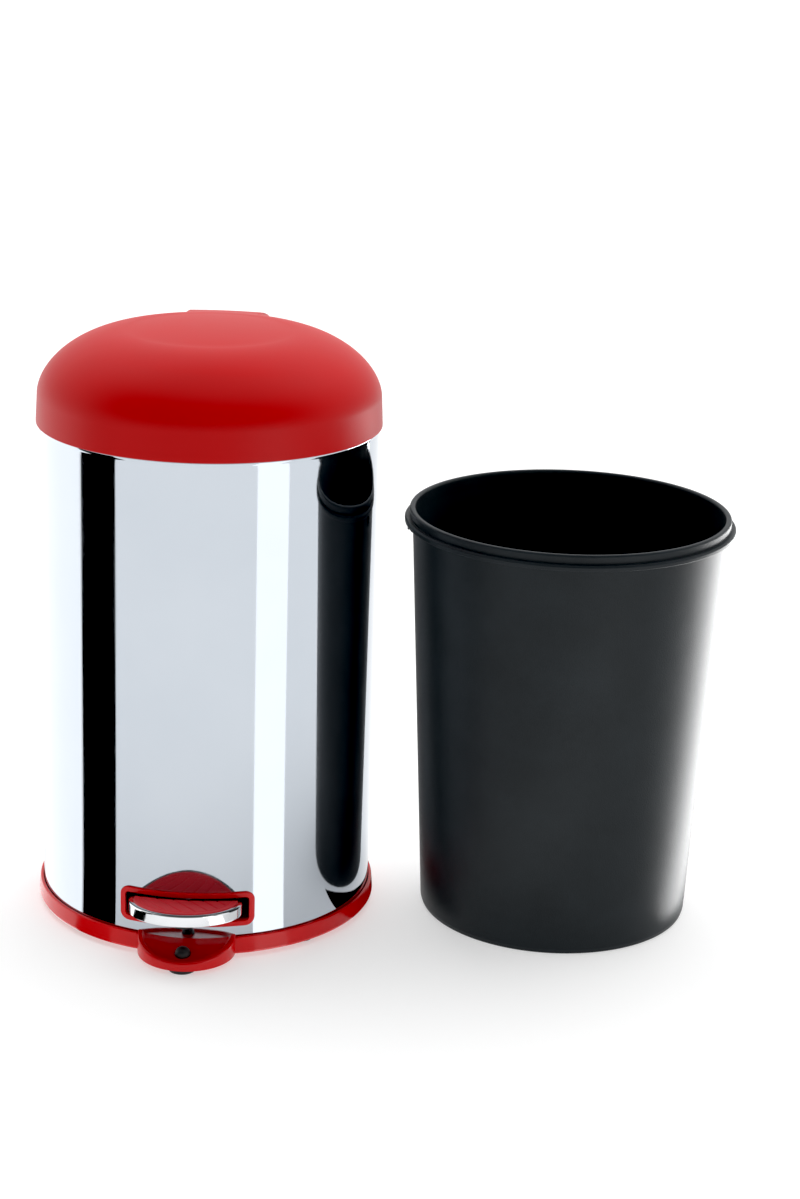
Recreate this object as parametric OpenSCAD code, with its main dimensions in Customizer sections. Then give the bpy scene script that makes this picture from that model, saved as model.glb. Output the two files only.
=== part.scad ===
// Round pedal bin with a mirror-polished steel body, a domed lid, a pedal linkage
// and a loose inner bucket that stands on the floor beside it.
// Millimetres, +Z up, the pedal faces -Y. The bin modules are drawn around the body's own
// axis with the floor at z = 0, the bucket modules around the bucket's axis, and both are
// then moved so that the origin is at the bottom centre of the whole object's box.

/* [Body] */
// Outside diameter of the steel body
body_d = 250; // [225:1:300]
// Height of the steel body's top edge above the floor
body_top = 376; // [300:1:480]
// Thickness of the steel sheet
sheet = 0.8; // [0.5:0.1:1.2]

/* [Base] */
// Height of the rubber feet
foot_h = 3.2; // [2:0.1:6]
// Height of the base ring's top edge above the floor
ring_top = 16.5; // [14:0.5:20]
// How far the base ring stands out past the steel
ring_out = 3.5; // [2:0.1:6]
// Thickness of the base floor
floor_t = 3.5; // [2.5:0.1:5]
// Radius of the front tongue that carries the pedal's bumper
tongue_r = 36; // [34:0.5:42]
// How far the tongue reaches past the steel
tongue_reach = 31.5; // [28:0.5:36]

/* [Pedal] */
// Height of the window's lower edge above the floor
window_low = 28.8; // [28:0.1:34]
// Clear height of the window in the bezel
window_h = 18.4; // [17:0.1:24]
// Clear width of the window in the bezel
window_w = 90.6; // [80:0.2:100]
// Width of the bezel's frame
bezel_frame = 4; // [3:0.1:6]
// Radius of the half-round pedal
pedal_r = 41.5; // [36:0.5:43]
// Height of the polished band round the pedal
band_h = 8.5; // [6:0.1:10]
// Thickness of the chromed pedal plate
plate_t = 2; // [1.5:0.1:3]
// Thickness of the pedal pad above the plate
pad_t = 2.4; // [1.5:0.1:2.6]
// Slope of the pedal at rest, rising to the front, in degrees
pedal_tilt = 7.5; // [6:0.1:8]
// Travel of the pedal, in degrees
pedal_travel = 7; // [5:0.1:7.5]
// How far the pedal's pivot lies behind the front of the steel
pivot_back = 105; // [95:1:115]
// Height of the lever's pivot above the floor
pivot_z = 20; // [19:0.5:22]

/* [Lid] */
// Height of the dome above the body's top edge
dome_h = 69; // [55:1:90]
// Wall of the lid
lid_wall = 1.8; // [1.6:0.1:3]
// Opening angle of the lid, in degrees
lid_open = 65; // [50:1:68]
// Width of the hinge cover at the back of the lid
cover_w = 56; // [50:1:64]

/* [Linkage] */
// Diameter of the lift rod
rod_d = 4; // [3:0.5:5]
// Gap between the steel body and the lift rod
rod_gap = 5.5; // [5:0.1:8]
// Diameter of the hinge pin and of the pedal's pivot pin
pin_d = 5; // [4:0.5:6]

/* [Bucket] */
// Height of the inner bucket
bucket_h = 314; // [250:1:400]
// Outside diameter of the bucket's rim
bucket_rim_d = 246; // [200:1:246]
// Outside diameter of the bucket's foot
bucket_foot_d = 204; // [160:1:210]
// Wall of the bucket
bucket_wall = 2; // [1.5:0.1:3]
// Free space between the body and the bucket's rim
bucket_space = 20; // [10:1:80]
// How far the bucket stands behind the body's centre line
bucket_back = 12; // [0:1:20]
// Wire diameter of the bucket's bail handle
bail_d = 3.2; // [2.5:0.1:4.5]

/* [Fits] */
// Radial clearance of a shaft that turns or slides in its hole
running_fit = 0.05; // [0.02:0.01:0.1]
// Gap between pieces that move past each other
move_gap = 0.4; // [0.3:0.05:0.8]
// Gap between pieces that are only fixed together
seat_gap = 0.1; // [0.05:0.05:0.2]

/* [Hidden] */
$fn = 96;

// body and base
body_r = body_d / 2;
inner_r = body_r - sheet;
ring_r = body_r + ring_out;
floor_z = 9;
floor_top = floor_z + floor_t;
groove_z = floor_z + 0.5;
upstand_t = 2.2;
upstand_top = window_low - 4.8;
upstand_r = inner_r - 2 * seat_gap;
tongue_y = -(body_r + tongue_reach - tongue_r);
tongue_lip = 4.2;
tongue_dip = 1.8;
tongue_tip_z = 9.2;
// The height of the tongue's sloping lip at distance y in front of the body's axis
function lip_z(y) = ring_top + (tongue_tip_z - ring_top) * (y - body_r - 2) / (tongue_reach - 2);
bumper_y = -(body_r + tongue_reach - 14);
bumper_r = 6.5;
bumper_top = ring_top;
bumper_stem_r = 3;
bumper_fit = 0.5;
bumper_seat = lip_z(-bumper_y + bumper_r) - tongue_dip - 0.5;
foot_r = 8.5;
foot_ring_r = body_r - 6.5;
foot_angles = [45, 135, 225, 315];
tip_foot_r = 10;
tip_foot_y = -(body_r + tongue_reach - tip_foot_r - 1);
rib_t = 2.5;
rib_low = foot_h + 2;
rivet_angles = [-70, -30, 30, 70];
rivet_z = (ring_top + upstand_top) / 2 + 0.4;
rivet_dome_r = 4.6;
rivet_head_r = 3.2;

// window and bezel
window_z = window_low + window_h / 2;
bezel_proud = 1.8;
shell_window_w = window_w + bezel_frame;
shell_window_h = window_h + bezel_frame;

// pedal, in the frame of the lever's pivot
pivot_y = pivot_back - body_r;
pin_r = pin_d / 2;
wall_run = body_r + 1 + pivot_y;
plate_drop = 2.9;
plate_rise = window_low + window_h - plate_drop - pivot_z;
plate_y = -wall_run * cos(pedal_tilt) - plate_rise * sin(pedal_tilt);
plate_top = plate_rise * cos(pedal_tilt) - wall_run * sin(pedal_tilt);
plate_low = plate_top - plate_t;
pedal_gap_r = body_r + bezel_proud + 4 * move_gap;
band_t = 1.8;
band_top = plate_top + pad_t - 0.6;
neck_w = window_w - 8.6;
neck_run = 20;
strap_t = 3;
strap_w = 26;
ear_t = 3;
bracket_t = 2.5;
bracket_plate_t = 2;
bracket_screw_y = [pivot_y - 15, pivot_y + 15];
clip_t = 0.8;
lever_rivet_y = [plate_y + 14, plate_y + 30];
lever_rivet_r = 2;
lever_ear_r = pivot_z - floor_top - bracket_plate_t;
stop_stem_r = 2.5;
stop_r = 6;
// where the stop meets the bumper, worked back from the pressed pedal to the level frame
stop_reach = -(bumper_y - pivot_y);
stop_y = -stop_reach / cos(pedal_tilt - pedal_travel);
stop_low = bumper_top + move_gap - pivot_z - stop_reach * tan(pedal_tilt - pedal_travel) - 0.1;

// lift rod and linkage
rod_r = rod_d / 2;
rod_y = body_r + rod_gap + rod_r;
collar_r = rod_r + 3.5;
collar_h = 4;
tail_z = pivot_z + 2;
tail_w = 14;
tail_hole_r = rod_r + 1.6;
tail_run = rod_y - pivot_y;
tail_angle = atan((tail_z - pivot_z) / tail_run);
tail_rise = tail_run * (sin(tail_angle + pedal_travel) - sin(tail_angle));
rod_travel = tail_rise + 1;
link_r = rod_travel / (2 * sin(lid_open / 2));
lid_low = body_top - 1.5;
hinge_y = rod_y + link_r * (1 + cos(lid_open / 2)) / 2;
hinge_z = lid_low - 4.5;
link_y = hinge_y - link_r * cos(lid_open / 2);
link_z = hinge_z - link_r * sin(lid_open / 2);
link_pin_r = 2;
rod_head_t = 3;
fork_gap = rod_head_t / 2 + 0.9;
fork_t = 2;
rod_low = ring_top + 1;
collar_z = tail_z + strap_t / 2 + 0.3;
tail_slot_top = tail_z + tail_rise + 10;

// rear cover and hinge bracket
slot_x = fork_gap + fork_t + 2;
cover_x = 16;
cover_wall = 2;
cover_back = rod_y + 10;
bracket_low = hinge_z - 32;
bridge_h = 10;
ear_r = pin_r + 5;
shank_r = 1.5;
head_r = 2.8;
head_t = 1.6;
screw_x = 10.5;
hinge_screw_at = [for (sx = [-1, 1], dz = [5, 16]) [sx * screw_x, bracket_low + dz]];
cover_screw_at = [for (sx = [-1, 1], part = [0.2, 0.8])
    [sx * screw_x, ring_top + part * (bracket_low - ring_top)]];

// lid
collar_t = 2.2;
collar_top = body_top + collar_t;
skirt_r = body_r + move_gap + lid_wall;
shoulder_r = skirt_r - 1;
shoulder_z = lid_low + 0.29 * (dome_h + 1.5);
crown_r = 0.47 * shoulder_r;
crown_drop = 3;
dome_top = body_top + dome_h;
dome_bow = 1.11;
cover_back_y = hinge_y + ear_r + 4.2;
cheek_t = 3;
pad_y = skirt_r + 3.2;
seat_low = lid_low + 9.5;
seat_h = 20;
seat_w = 36;
arm_plate_t = 2;
lever_screw_z = [seat_low + 5, seat_low + 15];

// bucket
bucket_rim_r = bucket_rim_d / 2;
bucket_foot_r = bucket_foot_d / 2;
bucket_top_r = bucket_rim_r - 6;
bucket_x = body_r + bucket_space + bucket_rim_r;
bail_r = bail_d / 2;
bail_z = bucket_h - 18;
bail_arc = bucket_top_r - 13;
bail_end = bucket_top_r + 2.5;

// the whole object's box, which sets the origin
pedal_tip_y = pivot_y + (plate_y - pedal_r) * cos(pedal_tilt) + (band_top - band_h) * sin(pedal_tilt);
box_low_x = -ring_r;
box_high_x = bucket_x + bucket_rim_r;
centre_x = (box_low_x + box_high_x) / 2;
centre_y = (pedal_tip_y + cover_back_y) / 2;

// ---- helpers -------------------------------------------------------------

// Moves a piece of the bin from the body's axis to the object's frame
module bin() { translate([-centre_x, -centre_y, 0]) children(); }

// Moves a piece of the bucket from the bucket's axis to the object's frame
module beside() { translate([bucket_x - centre_x, bucket_back - centre_y, 0]) children(); }

// Turns a piece from the lever's own level frame to the pedal's slope at rest
module at_pedal() { translate([0, pivot_y, pivot_z]) rotate([-pedal_tilt, 0, 0]) children(); }

// A prism across the bin: a side outline of [y, z] points, from x = x0 to x = x1
module across(x0, x1) {
    translate([x0, 0, 0]) rotate([90, 0, 90]) linear_extrude(height = x1 - x0) children();
}

// The same side outline on both sides, from x = x0 to x = x1 and mirrored
module across_pair(x0, x1) {
    across(x0, x1) children();
    across(-x1, -x0) children();
}

// A prism along Y, from y = y0 to y = y1, of a front outline of [x, z] points
module along(y0, y1) {
    translate([0, y1, 0]) rotate([90, 0, 0]) linear_extrude(height = y1 - y0) children();
}

// A rod along Y at [x, z], from y = y0 to y = y1
module pin_along(x, z, r, y0, y1) {
    translate([x, y0, z]) rotate([-90, 0, 0]) cylinder(r = r, h = y1 - y0);
}

// A rod along X at [y, z], from x = x0 to x = x1
module pin_across(y, z, r, x0, x1) {
    translate([x0, y, z]) rotate([0, 90, 0]) cylinder(r = r, h = x1 - x0);
}

// A straight bar outline of width w between two points
module bar(a, b, w) {
    run = norm(b - a);
    side = [-(b - a)[1], (b - a)[0]] * w / 2 / run;
    polygon([a + side, b + side, b - side, a - side]);
}

// A rectangle with round corners, centred
module soft_rectangle(w, h, r) {
    square([w, h - 2 * r], center = true);
    square([w - 2 * r, h], center = true);
    for (sx = [-1, 1], sy = [-1, 1]) translate([sx * (w / 2 - r), sy * (h / 2 - r)]) circle(r = r);
}

// An upright tube
module tube(r_in, r_out, z0, z1) {
    translate([0, 0, z0]) difference() {
        cylinder(r = r_out, h = z1 - z0);
        translate([0, 0, -1]) cylinder(r = r_in, h = z1 - z0 + 2);
    }
}

// ---- base ----------------------------------------------------------------

// A side outline under the tongue's sloping top, lowered by dip
module tongue_side(dip) {
    far = body_r + tongue_reach + 4;
    polygon([[-far, foot_h], [-body_r + 10, foot_h], [-body_r + 10, lip_z(body_r - 10) - dip],
             [-far, lip_z(far) - dip]]);
}

module tongue() {
    difference() {
        intersection() {
            translate([0, tongue_y, 0]) cylinder(r = tongue_r, h = ring_top + 6);
            across(-tongue_r - 1, tongue_r + 1) tongue_side(0);
        }
        cylinder(r = body_r + 0.5, h = ring_top + 8);
    }
}

module tongue_scoop() {
    difference() {
        translate([0, tongue_y, 0]) cylinder(r = tongue_r - tongue_lip, h = ring_top + 8);
        across(-tongue_r, tongue_r) tongue_side(tongue_dip);
        cylinder(r = body_r + 0.9, h = ring_top + 9);
    }
}

module base_moulding() {
    color("#C4000A") difference() {
        union() {
            rotate_extrude() polygon([
                [0, floor_z], [foot_ring_r - 8, floor_z], [foot_ring_r - 8, foot_h], [ring_r - 1, foot_h],
                [ring_r, foot_h + 1], [ring_r - 0.6, ring_top - 2.6], [ring_r - 1.3, ring_top - 0.7],
                [ring_r - 2.1, ring_top], [upstand_r, ring_top], [upstand_r, upstand_top],
                [upstand_r - upstand_t, upstand_top], [upstand_r - upstand_t, floor_top], [0, floor_top]]);
            tongue();
            // step under the rear cover
            translate([-cover_x - 2, body_r - 3, foot_h])
                cube([2 * cover_x + 4, cover_back - body_r + 3.5, ring_top - foot_h]);
            // stiffening ribs under the floor
            for (a = [0:45:135]) rotate([0, 0, a])
                translate([-foot_ring_r + 4, -rib_t / 2, rib_low])
                    cube([2 * foot_ring_r - 8, rib_t, floor_z - rib_low + 1]);
        }
        // groove for the steel body
        tube(upstand_r, body_r + 2.5 * seat_gap, groove_z, ring_top + 20);
        tongue_scoop();
        // way through the upstand for the lever's tail
        translate([-tail_w / 2 - 2, body_r - 12, floor_top])
            cube([tail_w + 4, 20, ring_top - floor_top + 20]);
        for (a = rivet_angles) rotate([0, 0, a]) pin_along(0, rivet_z, shank_r, body_r - 8, body_r + 2);
        for (y = bracket_screw_y) translate([0, y, floor_z - 1]) cylinder(r = shank_r, h = floor_t + 2);
        // flat seat of the bumper, and the hole for its stem
        translate([0, bumper_y, bumper_seat]) cylinder(r = bumper_r + bumper_fit, h = ring_top);
        translate([0, bumper_y, rib_low]) cylinder(r = bumper_stem_r, h = ring_top);
    }
}

module foot_pads() {
    color("#1A1A1A") for (a = foot_angles) rotate([0, 0, a])
        translate([foot_ring_r - foot_r / 2, 0, 0]) cylinder(r = foot_r, h = foot_h);
}

module front_foot() {
    color("#1A1A1A") translate([0, tip_foot_y, 0]) cylinder(r = tip_foot_r, h = foot_h);
}

module pedal_bumper() {
    color("#141414") translate([0, bumper_y, 0]) {
        translate([0, 0, bumper_seat]) cylinder(r = bumper_r, h = bumper_top - bumper_r - bumper_seat + 0.5);
        intersection() {
            translate([0, 0, bumper_top - bumper_r]) sphere(r = bumper_r);
            translate([0, 0, bumper_seat]) cylinder(r = bumper_r + 1, h = bumper_top - bumper_seat + 1);
        }
        translate([0, 0, rib_low]) cylinder(r = bumper_stem_r, h = bumper_seat - rib_low + 1);
    }
}

// ---- body ----------------------------------------------------------------

module body_shell() {
    color("#D5DADF") difference() {
        tube(inner_r, body_r, groove_z, body_top);
        translate([0, 0, window_z]) along(-body_r - 5, -body_r + 40)
            soft_rectangle(shell_window_w, shell_window_h, 4);
        // slot for the lever's tail
        translate([-tail_w / 2 - 2, body_r - 12, groove_z - 1])
            cube([tail_w + 4, 20, tail_slot_top - groove_z + 1]);
        for (a = rivet_angles) rotate([0, 0, a]) pin_along(0, rivet_z, shank_r, body_r - 8, body_r + 2);
        for (p = hinge_screw_at) pin_along(p[0], p[1], shank_r, body_r - 8, body_r + 2);
        for (p = cover_screw_at) pin_along(p[0], p[1], shank_r, body_r - 8, body_r + 2);
    }
}

module shell_rivets() {
    color("#B8BDC2") for (a = rivet_angles) rotate([0, 0, a]) {
        pin_along(0, rivet_z, shank_r, body_r - 4.6, body_r + 0.6);
        intersection() {
            translate([0, body_r - rivet_dome_r + 1.2, rivet_z]) sphere(r = rivet_dome_r);
            pin_along(0, rivet_z, rivet_head_r, body_r + seat_gap / 2, body_r + 3);
        }
    }
}

module top_collar() {
    color("#1C1E20") rotate_extrude() polygon([
        [inner_r - 1.8, body_top - 14], [inner_r - seat_gap, body_top - 14], [inner_r - seat_gap, body_top],
        [body_r, body_top], [body_r, collar_top - 0.5], [body_r - 0.5, collar_top],
        [inner_r - 4.4, collar_top], [inner_r - 4.4, body_top], [inner_r - 1.8, body_top - 3]]);
}

module pedal_bezel() {
    color("#C4000A") difference() {
        union() {
            intersection() {
                tube(body_r + seat_gap / 2, body_r + bezel_proud, window_low - 8, window_low + window_h + 8);
                translate([0, 0, window_z]) along(-body_r - 5, -body_r + 40)
                    soft_rectangle(window_w + 2 * bezel_frame, window_h + 2 * bezel_frame, 6);
            }
            intersection() {
                tube(inner_r - 2, body_r + 1, window_low - 8, window_low + window_h + 8);
                translate([0, 0, window_z]) along(-body_r - 5, -body_r + 40)
                    soft_rectangle(shell_window_w - 2 * seat_gap, shell_window_h - 2 * seat_gap,
                        4 - seat_gap);
            }
        }
        translate([0, 0, window_z]) along(-body_r - 6, -body_r + 41) soft_rectangle(window_w, window_h, 2.5);
    }
}

// ---- pedal ---------------------------------------------------------------

module pivot_bracket() {
    ear_in = strap_w / 2 + move_gap;
    color("#9EA4A8") difference() {
        union() {
            translate([-ear_in - bracket_t, pivot_y - 22, floor_top])
                cube([2 * (ear_in + bracket_t), 44, bracket_plate_t]);
            across_pair(ear_in, ear_in + bracket_t) {
                translate([pivot_y, pivot_z]) circle(r = pin_r + 4);
                polygon([[pivot_y - 12, floor_top], [pivot_y + 12, floor_top], [pivot_y + pin_r + 3, pivot_z],
                         [pivot_y - pin_r - 3, pivot_z]]);
            }
        }
        pin_across(pivot_y, pivot_z, pin_r, -30, 30);
        for (y = bracket_screw_y) translate([0, y, floor_top - 1]) cylinder(r = shank_r, h = 5);
    }
}

module bracket_screws() {
    color("#B8BDC2") for (y = bracket_screw_y) translate([0, y, 0]) {
        translate([0, 0, floor_z - 0.9]) cylinder(r = shank_r, h = floor_t + bracket_plate_t + 1.5);
        translate([0, 0, floor_top + bracket_plate_t]) cylinder(r = head_r, h = head_t);
    }
}

module pivot_pin() {
    out = strap_w / 2 + move_gap + bracket_t;
    color("#B8BDC2") {
        pin_across(pivot_y, pivot_z, pin_r, -out - 1, out + 2.5);
        pin_across(pivot_y, pivot_z, pin_r + 1.8, -out - 1.5, -out);
    }
}

module pivot_clip() {
    out = strap_w / 2 + move_gap + bracket_t;
    color("#6E7377") difference() {
        pin_across(pivot_y, pivot_z, pin_r + 2.2, out + 0.2, out + 0.2 + clip_t);
        pin_across(pivot_y, pivot_z, pin_r, out - 1, out + 3);
        translate([out - 1, pivot_y - 1.4, pivot_z - 9]) cube([4, 2.8, 9]);
    }
}

// The lever's strap: one sloping run under the pedal's neck, then a level tail
module strap_side() {
    slope = tan(pedal_tilt);
    front = -(inner_r - 8);
    front_top = pivot_z + plate_low / cos(pedal_tilt) + (pivot_y - front) * slope;
    tail_top = tail_z + strap_t / 2;
    bend = front + (front_top - tail_top) / slope;
    polygon([[front, front_top], [bend, tail_top], [rod_y + 6, tail_top], [rod_y + 6, tail_top - strap_t],
             [bend - 0.2, tail_top - strap_t], [front, front_top - strap_t]]);
}

module pedal_lever() {
    slope = tan(pedal_tilt);
    strap_under = pivot_z + plate_low / cos(pedal_tilt) - strap_t;
    color("#9EA4A8") difference() {
        union() {
            intersection() {
                across(-strap_w / 2, strap_w / 2) strap_side();
                // narrow tail behind a tapered shoulder
                linear_extrude(height = 80) polygon([
                    [-strap_w / 2, -body_r], [strap_w / 2, -body_r], [strap_w / 2, 40], [tail_w / 2, 70],
                    [tail_w / 2, rod_y + 8], [-tail_w / 2, rod_y + 8], [-tail_w / 2, 70],
                        [-strap_w / 2, 40]]);
            }
            across_pair(strap_w / 2 - ear_t, strap_w / 2) {
                translate([pivot_y, pivot_z]) circle(r = lever_ear_r);
                polygon([[pivot_y - 11, strap_under + 11 * slope + 1],
                         [pivot_y + 11, strap_under - 11 * slope + 1],
                         [pivot_y + lever_ear_r - 0.6, pivot_z], [pivot_y - lever_ear_r + 0.6, pivot_z]]);
            }
        }
        pin_across(pivot_y, pivot_z, pin_r + running_fit, -30, 30);
        translate([0, rod_y + 0.5, tail_z - 10]) cylinder(r = tail_hole_r, h = 20);
        at_pedal() for (y = lever_rivet_y) translate([0, y, plate_low - 10])
            cylinder(r = lever_rivet_r, h = 20);
    }
}

// Half-round outline of the pedal, with its neck that passes through the window
module pedal_outline(r) {
    translate([0, plate_y]) circle(r = r);
}

module pedal_plate() {
    color("#E4E7EA") difference() {
        union() {
            difference() {
                at_pedal() union() {
                    translate([0, 0, plate_low]) linear_extrude(height = plate_t)
                        pedal_outline(pedal_r - 0.5);
                    translate([0, 0, band_top - band_h]) linear_extrude(height = band_h) difference() {
                        pedal_outline(pedal_r);
                        pedal_outline(pedal_r - band_t);
                    }
                }
                cylinder(r = pedal_gap_r, h = 100);
            }
            at_pedal() translate([0, 0, plate_low]) linear_extrude(height = plate_t) polygon([
                [-neck_w / 2, plate_y - 6], [neck_w / 2, plate_y - 6], [neck_w / 2, plate_y + neck_run / 2],
                [strap_w / 2, plate_y + 2 * neck_run], [-strap_w / 2, plate_y + 2 * neck_run],
                [-neck_w / 2, plate_y + neck_run / 2]]);
        }
        at_pedal() for (y = lever_rivet_y) translate([0, y, plate_low - 10])
            cylinder(r = lever_rivet_r, h = 20);
        at_pedal() translate([0, stop_y, plate_low - 1]) cylinder(r = stop_stem_r, h = plate_t + 2);
    }
}

module pedal_pad() {
    pad_r = pedal_r - band_t - 0.1;
    color("#D8303A") difference() {
        at_pedal() difference() {
            translate([0, 0, plate_top]) linear_extrude(height = pad_t) pedal_outline(pad_r);
            // slanting grip grooves
            intersection() {
                for (i = [-4:4]) translate([i * 9, plate_y - pedal_r, plate_top + pad_t - 0.6])
                    rotate([0, 0, -35]) translate([-0.6, -10, 0]) cube([1.2, 60, 2]);
                translate([0, 0, plate_top + 1]) linear_extrude(height = pad_t) pedal_outline(pad_r - 4.5);
            }
        }
        cylinder(r = pedal_gap_r + 0.2, h = 100);
        at_pedal() translate([0, stop_y, plate_top - 1]) cylinder(r = stop_stem_r + 1.2, h = 2);
    }
}

module lever_rivets() {
    color("#B8BDC2") at_pedal() for (y = lever_rivet_y) translate([0, y, 0]) {
        translate([0, 0, plate_low - strap_t - 1]) cylinder(r = lever_rivet_r, h = strap_t + plate_t + 2);
        translate([0, 0, plate_top]) cylinder(r = 3.6, h = 1.2);
        translate([0, 0, plate_low - strap_t - 1.3]) cylinder(r = 3.2, h = 1.2);
    }
}

module pedal_stop() {
    color("#141414") at_pedal() translate([0, stop_y, 0]) {
        translate([0, 0, stop_low]) cylinder(r = stop_r, h = plate_low - stop_low);
        translate([0, 0, plate_low - 1]) cylinder(r = stop_stem_r, h = plate_t + 1);
    }
}

// ---- lift rod, rear cover and hinge bracket ------------------------------

module lift_rod() {
    slot_half = link_r * (1 - cos(lid_open / 2)) / 2 + link_pin_r + 0.5;
    slot_high = link_pin_r + 0.45;
    color("#B8BDC2") difference() {
        union() {
            translate([0, rod_y, rod_low]) cylinder(r = rod_r, h = link_z - slot_high - 2 - rod_low);
            across(-rod_head_t / 2, rod_head_t / 2) translate([rod_y, link_z])
                soft_rectangle(2 * slot_half + 4, 2 * slot_high + 5, slot_high + 2);
        }
        across(-10, 10) translate([rod_y, link_z]) {
            square([2 * (slot_half - slot_high), 2 * slot_high], center = true);
            for (s = [-1, 1]) translate([s * (slot_half - slot_high), 0]) circle(r = slot_high);
        }
    }
}

module rod_collar() {
    color("#8A9095") translate([0, rod_y, collar_z]) difference() {
        cylinder(r = collar_r, h = collar_h);
        translate([0, 0, -1]) cylinder(r = rod_r, h = collar_h + 2);
    }
}

module rod_guides() {
    color("#E8E8E4") for (part = [0.35, 0.65]) difference() {
        translate([-slot_x, body_r - 2, ring_top + part * (bracket_low - ring_top)])
            cube([2 * slot_x, cover_back - cover_wall - body_r + 1.9, bridge_h]);
        cylinder(r = body_r + seat_gap, h = body_top);
        translate([0, rod_y, 0]) cylinder(r = rod_r + running_fit, h = body_top);
    }
}

module rod_cover() {
    low = ring_top + seat_gap;
    high = bracket_low - seat_gap;
    color("#1C1E20") difference() {
        union() {
            difference() {
                translate([-cover_x, body_r - 3, low]) cube([2 * cover_x, cover_back - body_r + 3,
                    high - low]);
                translate([-cover_x + cover_wall, body_r - 4, low - 1])
                    cube([2 * (cover_x - cover_wall), cover_back - cover_wall - body_r + 4, high - low + 2]);
            }
            for (p = cover_screw_at) pin_along(p[0], p[1], 3, body_r - 3, cover_back - 1);
        }
        cylinder(r = body_r + seat_gap, h = body_top);
        for (p = cover_screw_at) pin_along(p[0], p[1], shank_r, body_r - 5, cover_back + 5);
    }
}

module cover_screws() {
    color("#B8BDC2") for (p = cover_screw_at) {
        pin_along(p[0], p[1], shank_r, body_r - 3, cover_back + 0.5);
        pin_along(p[0], p[1], head_r, cover_back, cover_back + head_t);
    }
}

module hinge_bracket() {
    high = hinge_z + 1;
    color("#1C1E20") difference() {
        union() {
            across_pair(slot_x, cover_x) {
                translate([hinge_y, hinge_z]) circle(r = ear_r);
                polygon([[body_r - 4, bracket_low], [cover_back, bracket_low], [cover_back, bracket_low + 12],
                         [hinge_y + ear_r * 0.94, hinge_z - ear_r * 0.34], [hinge_y, hinge_z + 1],
                             [body_r - 4, high]]);
            }
            translate([-slot_x - 1, body_r - 4, bracket_low])
                cube([2 * slot_x + 2, cover_back - body_r + 4, bridge_h]);
        }
        cylinder(r = body_r + seat_gap, h = body_top + 10);
        translate([0, rod_y, 0]) cylinder(r = rod_r + running_fit, h = body_top);
        pin_across(hinge_y, hinge_z, pin_r + running_fit, -40, 40);
        for (p = hinge_screw_at) pin_along(p[0], p[1], shank_r, body_r - 5, body_r + 9);
    }
}

module hinge_screws() {
    color("#B8BDC2") for (p = hinge_screw_at) {
        pin_along(p[0], p[1], shank_r, inner_r - 2, body_r + 8);
        pin_along(p[0], p[1], head_r, inner_r - head_t - 1, inner_r - 1);
    }
}

// ---- lid -----------------------------------------------------------------

// The dome's outline, from the skirt's foot to the top of the crown. The shoulder is a
// superellipse quarter from the skirt to the crown, and the crown is a shallow parabola.
function dome_line(low, skirt, shoulder, drop, n) = concat(
    [[0, low], [skirt, low]],
    [for (i = [0:n]) let (t = 90 * i / n)
        [crown_r + (shoulder - crown_r) * pow(cos(t), dome_bow),
         shoulder_z + (dome_top - crown_drop - drop - shoulder_z) * pow(sin(t), dome_bow)]],
    [for (i = [1:4]) let (q = 1 - i / 4) [crown_r * q, dome_top - drop - crown_drop * q * q]]);

module dome_solid() {
    rotate_extrude($fn = 180) polygon(dome_line(lid_low, skirt_r, shoulder_r, 0, 14));
}

module dome_hollow() {
    rotate_extrude($fn = 180)
        polygon(dome_line(lid_low - 1, skirt_r - lid_wall, shoulder_r - lid_wall, lid_wall, 14));
}

// Side outline of the hinge cover: it leaves the crown and closes over the hinge pin
module hinge_cover_side() {
    back = cover_back_y;
    polygon([[crown_r + 10, dome_top - 24], [crown_r + 22, dome_top - 8.6], [body_r - 16, dome_top - 13.2],
             [hinge_y - 14, dome_top - 17.6], [hinge_y + 3, dome_top - 21.8], [back - 3, dome_top - 26],
             [back, dome_top - 32], [back, hinge_z + ear_r], [back - 4, hinge_z], [hinge_y, hinge_z],
             [hinge_y - ear_r - 1, hinge_z], [skirt_r - 1, lid_low + 10], [skirt_r - 6, lid_low + 20]]);
    translate([hinge_y, hinge_z]) circle(r = ear_r + 1);
}

// The space inside the hinge cover, open downwards
module hinge_cover_space() {
    back = cover_back_y - lid_wall;
    polygon([[body_r - 20, lid_low - 60], [body_r - 20, dome_top - 15.4], [hinge_y - 14, dome_top - 20],
             [hinge_y + 2, dome_top - 24.2], [back - 2.6, dome_top - 28], [back, dome_top - 33],
             [back, lid_low - 60]]);
}

module lid_dome() {
    half = cover_w / 2;
    color("#C8101A") difference() {
        union() {
            dome_solid();
            difference() {
                across(-half, half) hinge_cover_side();
                difference() {
                    across(-half + cheek_t, half - cheek_t) hinge_cover_space();
                    dome_solid();
                    // flat seat for the lid lever, on the back of the dome
                    translate([-seat_w / 2, body_r - 20, seat_low - 2])
                        cube([seat_w, pad_y - body_r + 20, seat_h + 4]);
                }
            }
        }
        dome_hollow();
        pin_across(hinge_y, hinge_z, pin_r, -half - 1, half + 1);
        for (z = lever_screw_z) pin_along(0, z, shank_r, skirt_r - 4, pad_y + 1);
    }
}

module lid_buffers() {
    color("#1A1A1A") for (a = [-90, 20, 160]) rotate([0, 0, a]) intersection() {
        tube(body_r - 1.6, body_r - seat_gap, collar_top + 0.3, collar_top + 5);
        translate([body_r - 6, -7, 0]) cube([12, 14, 500]);
    }
}

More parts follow.
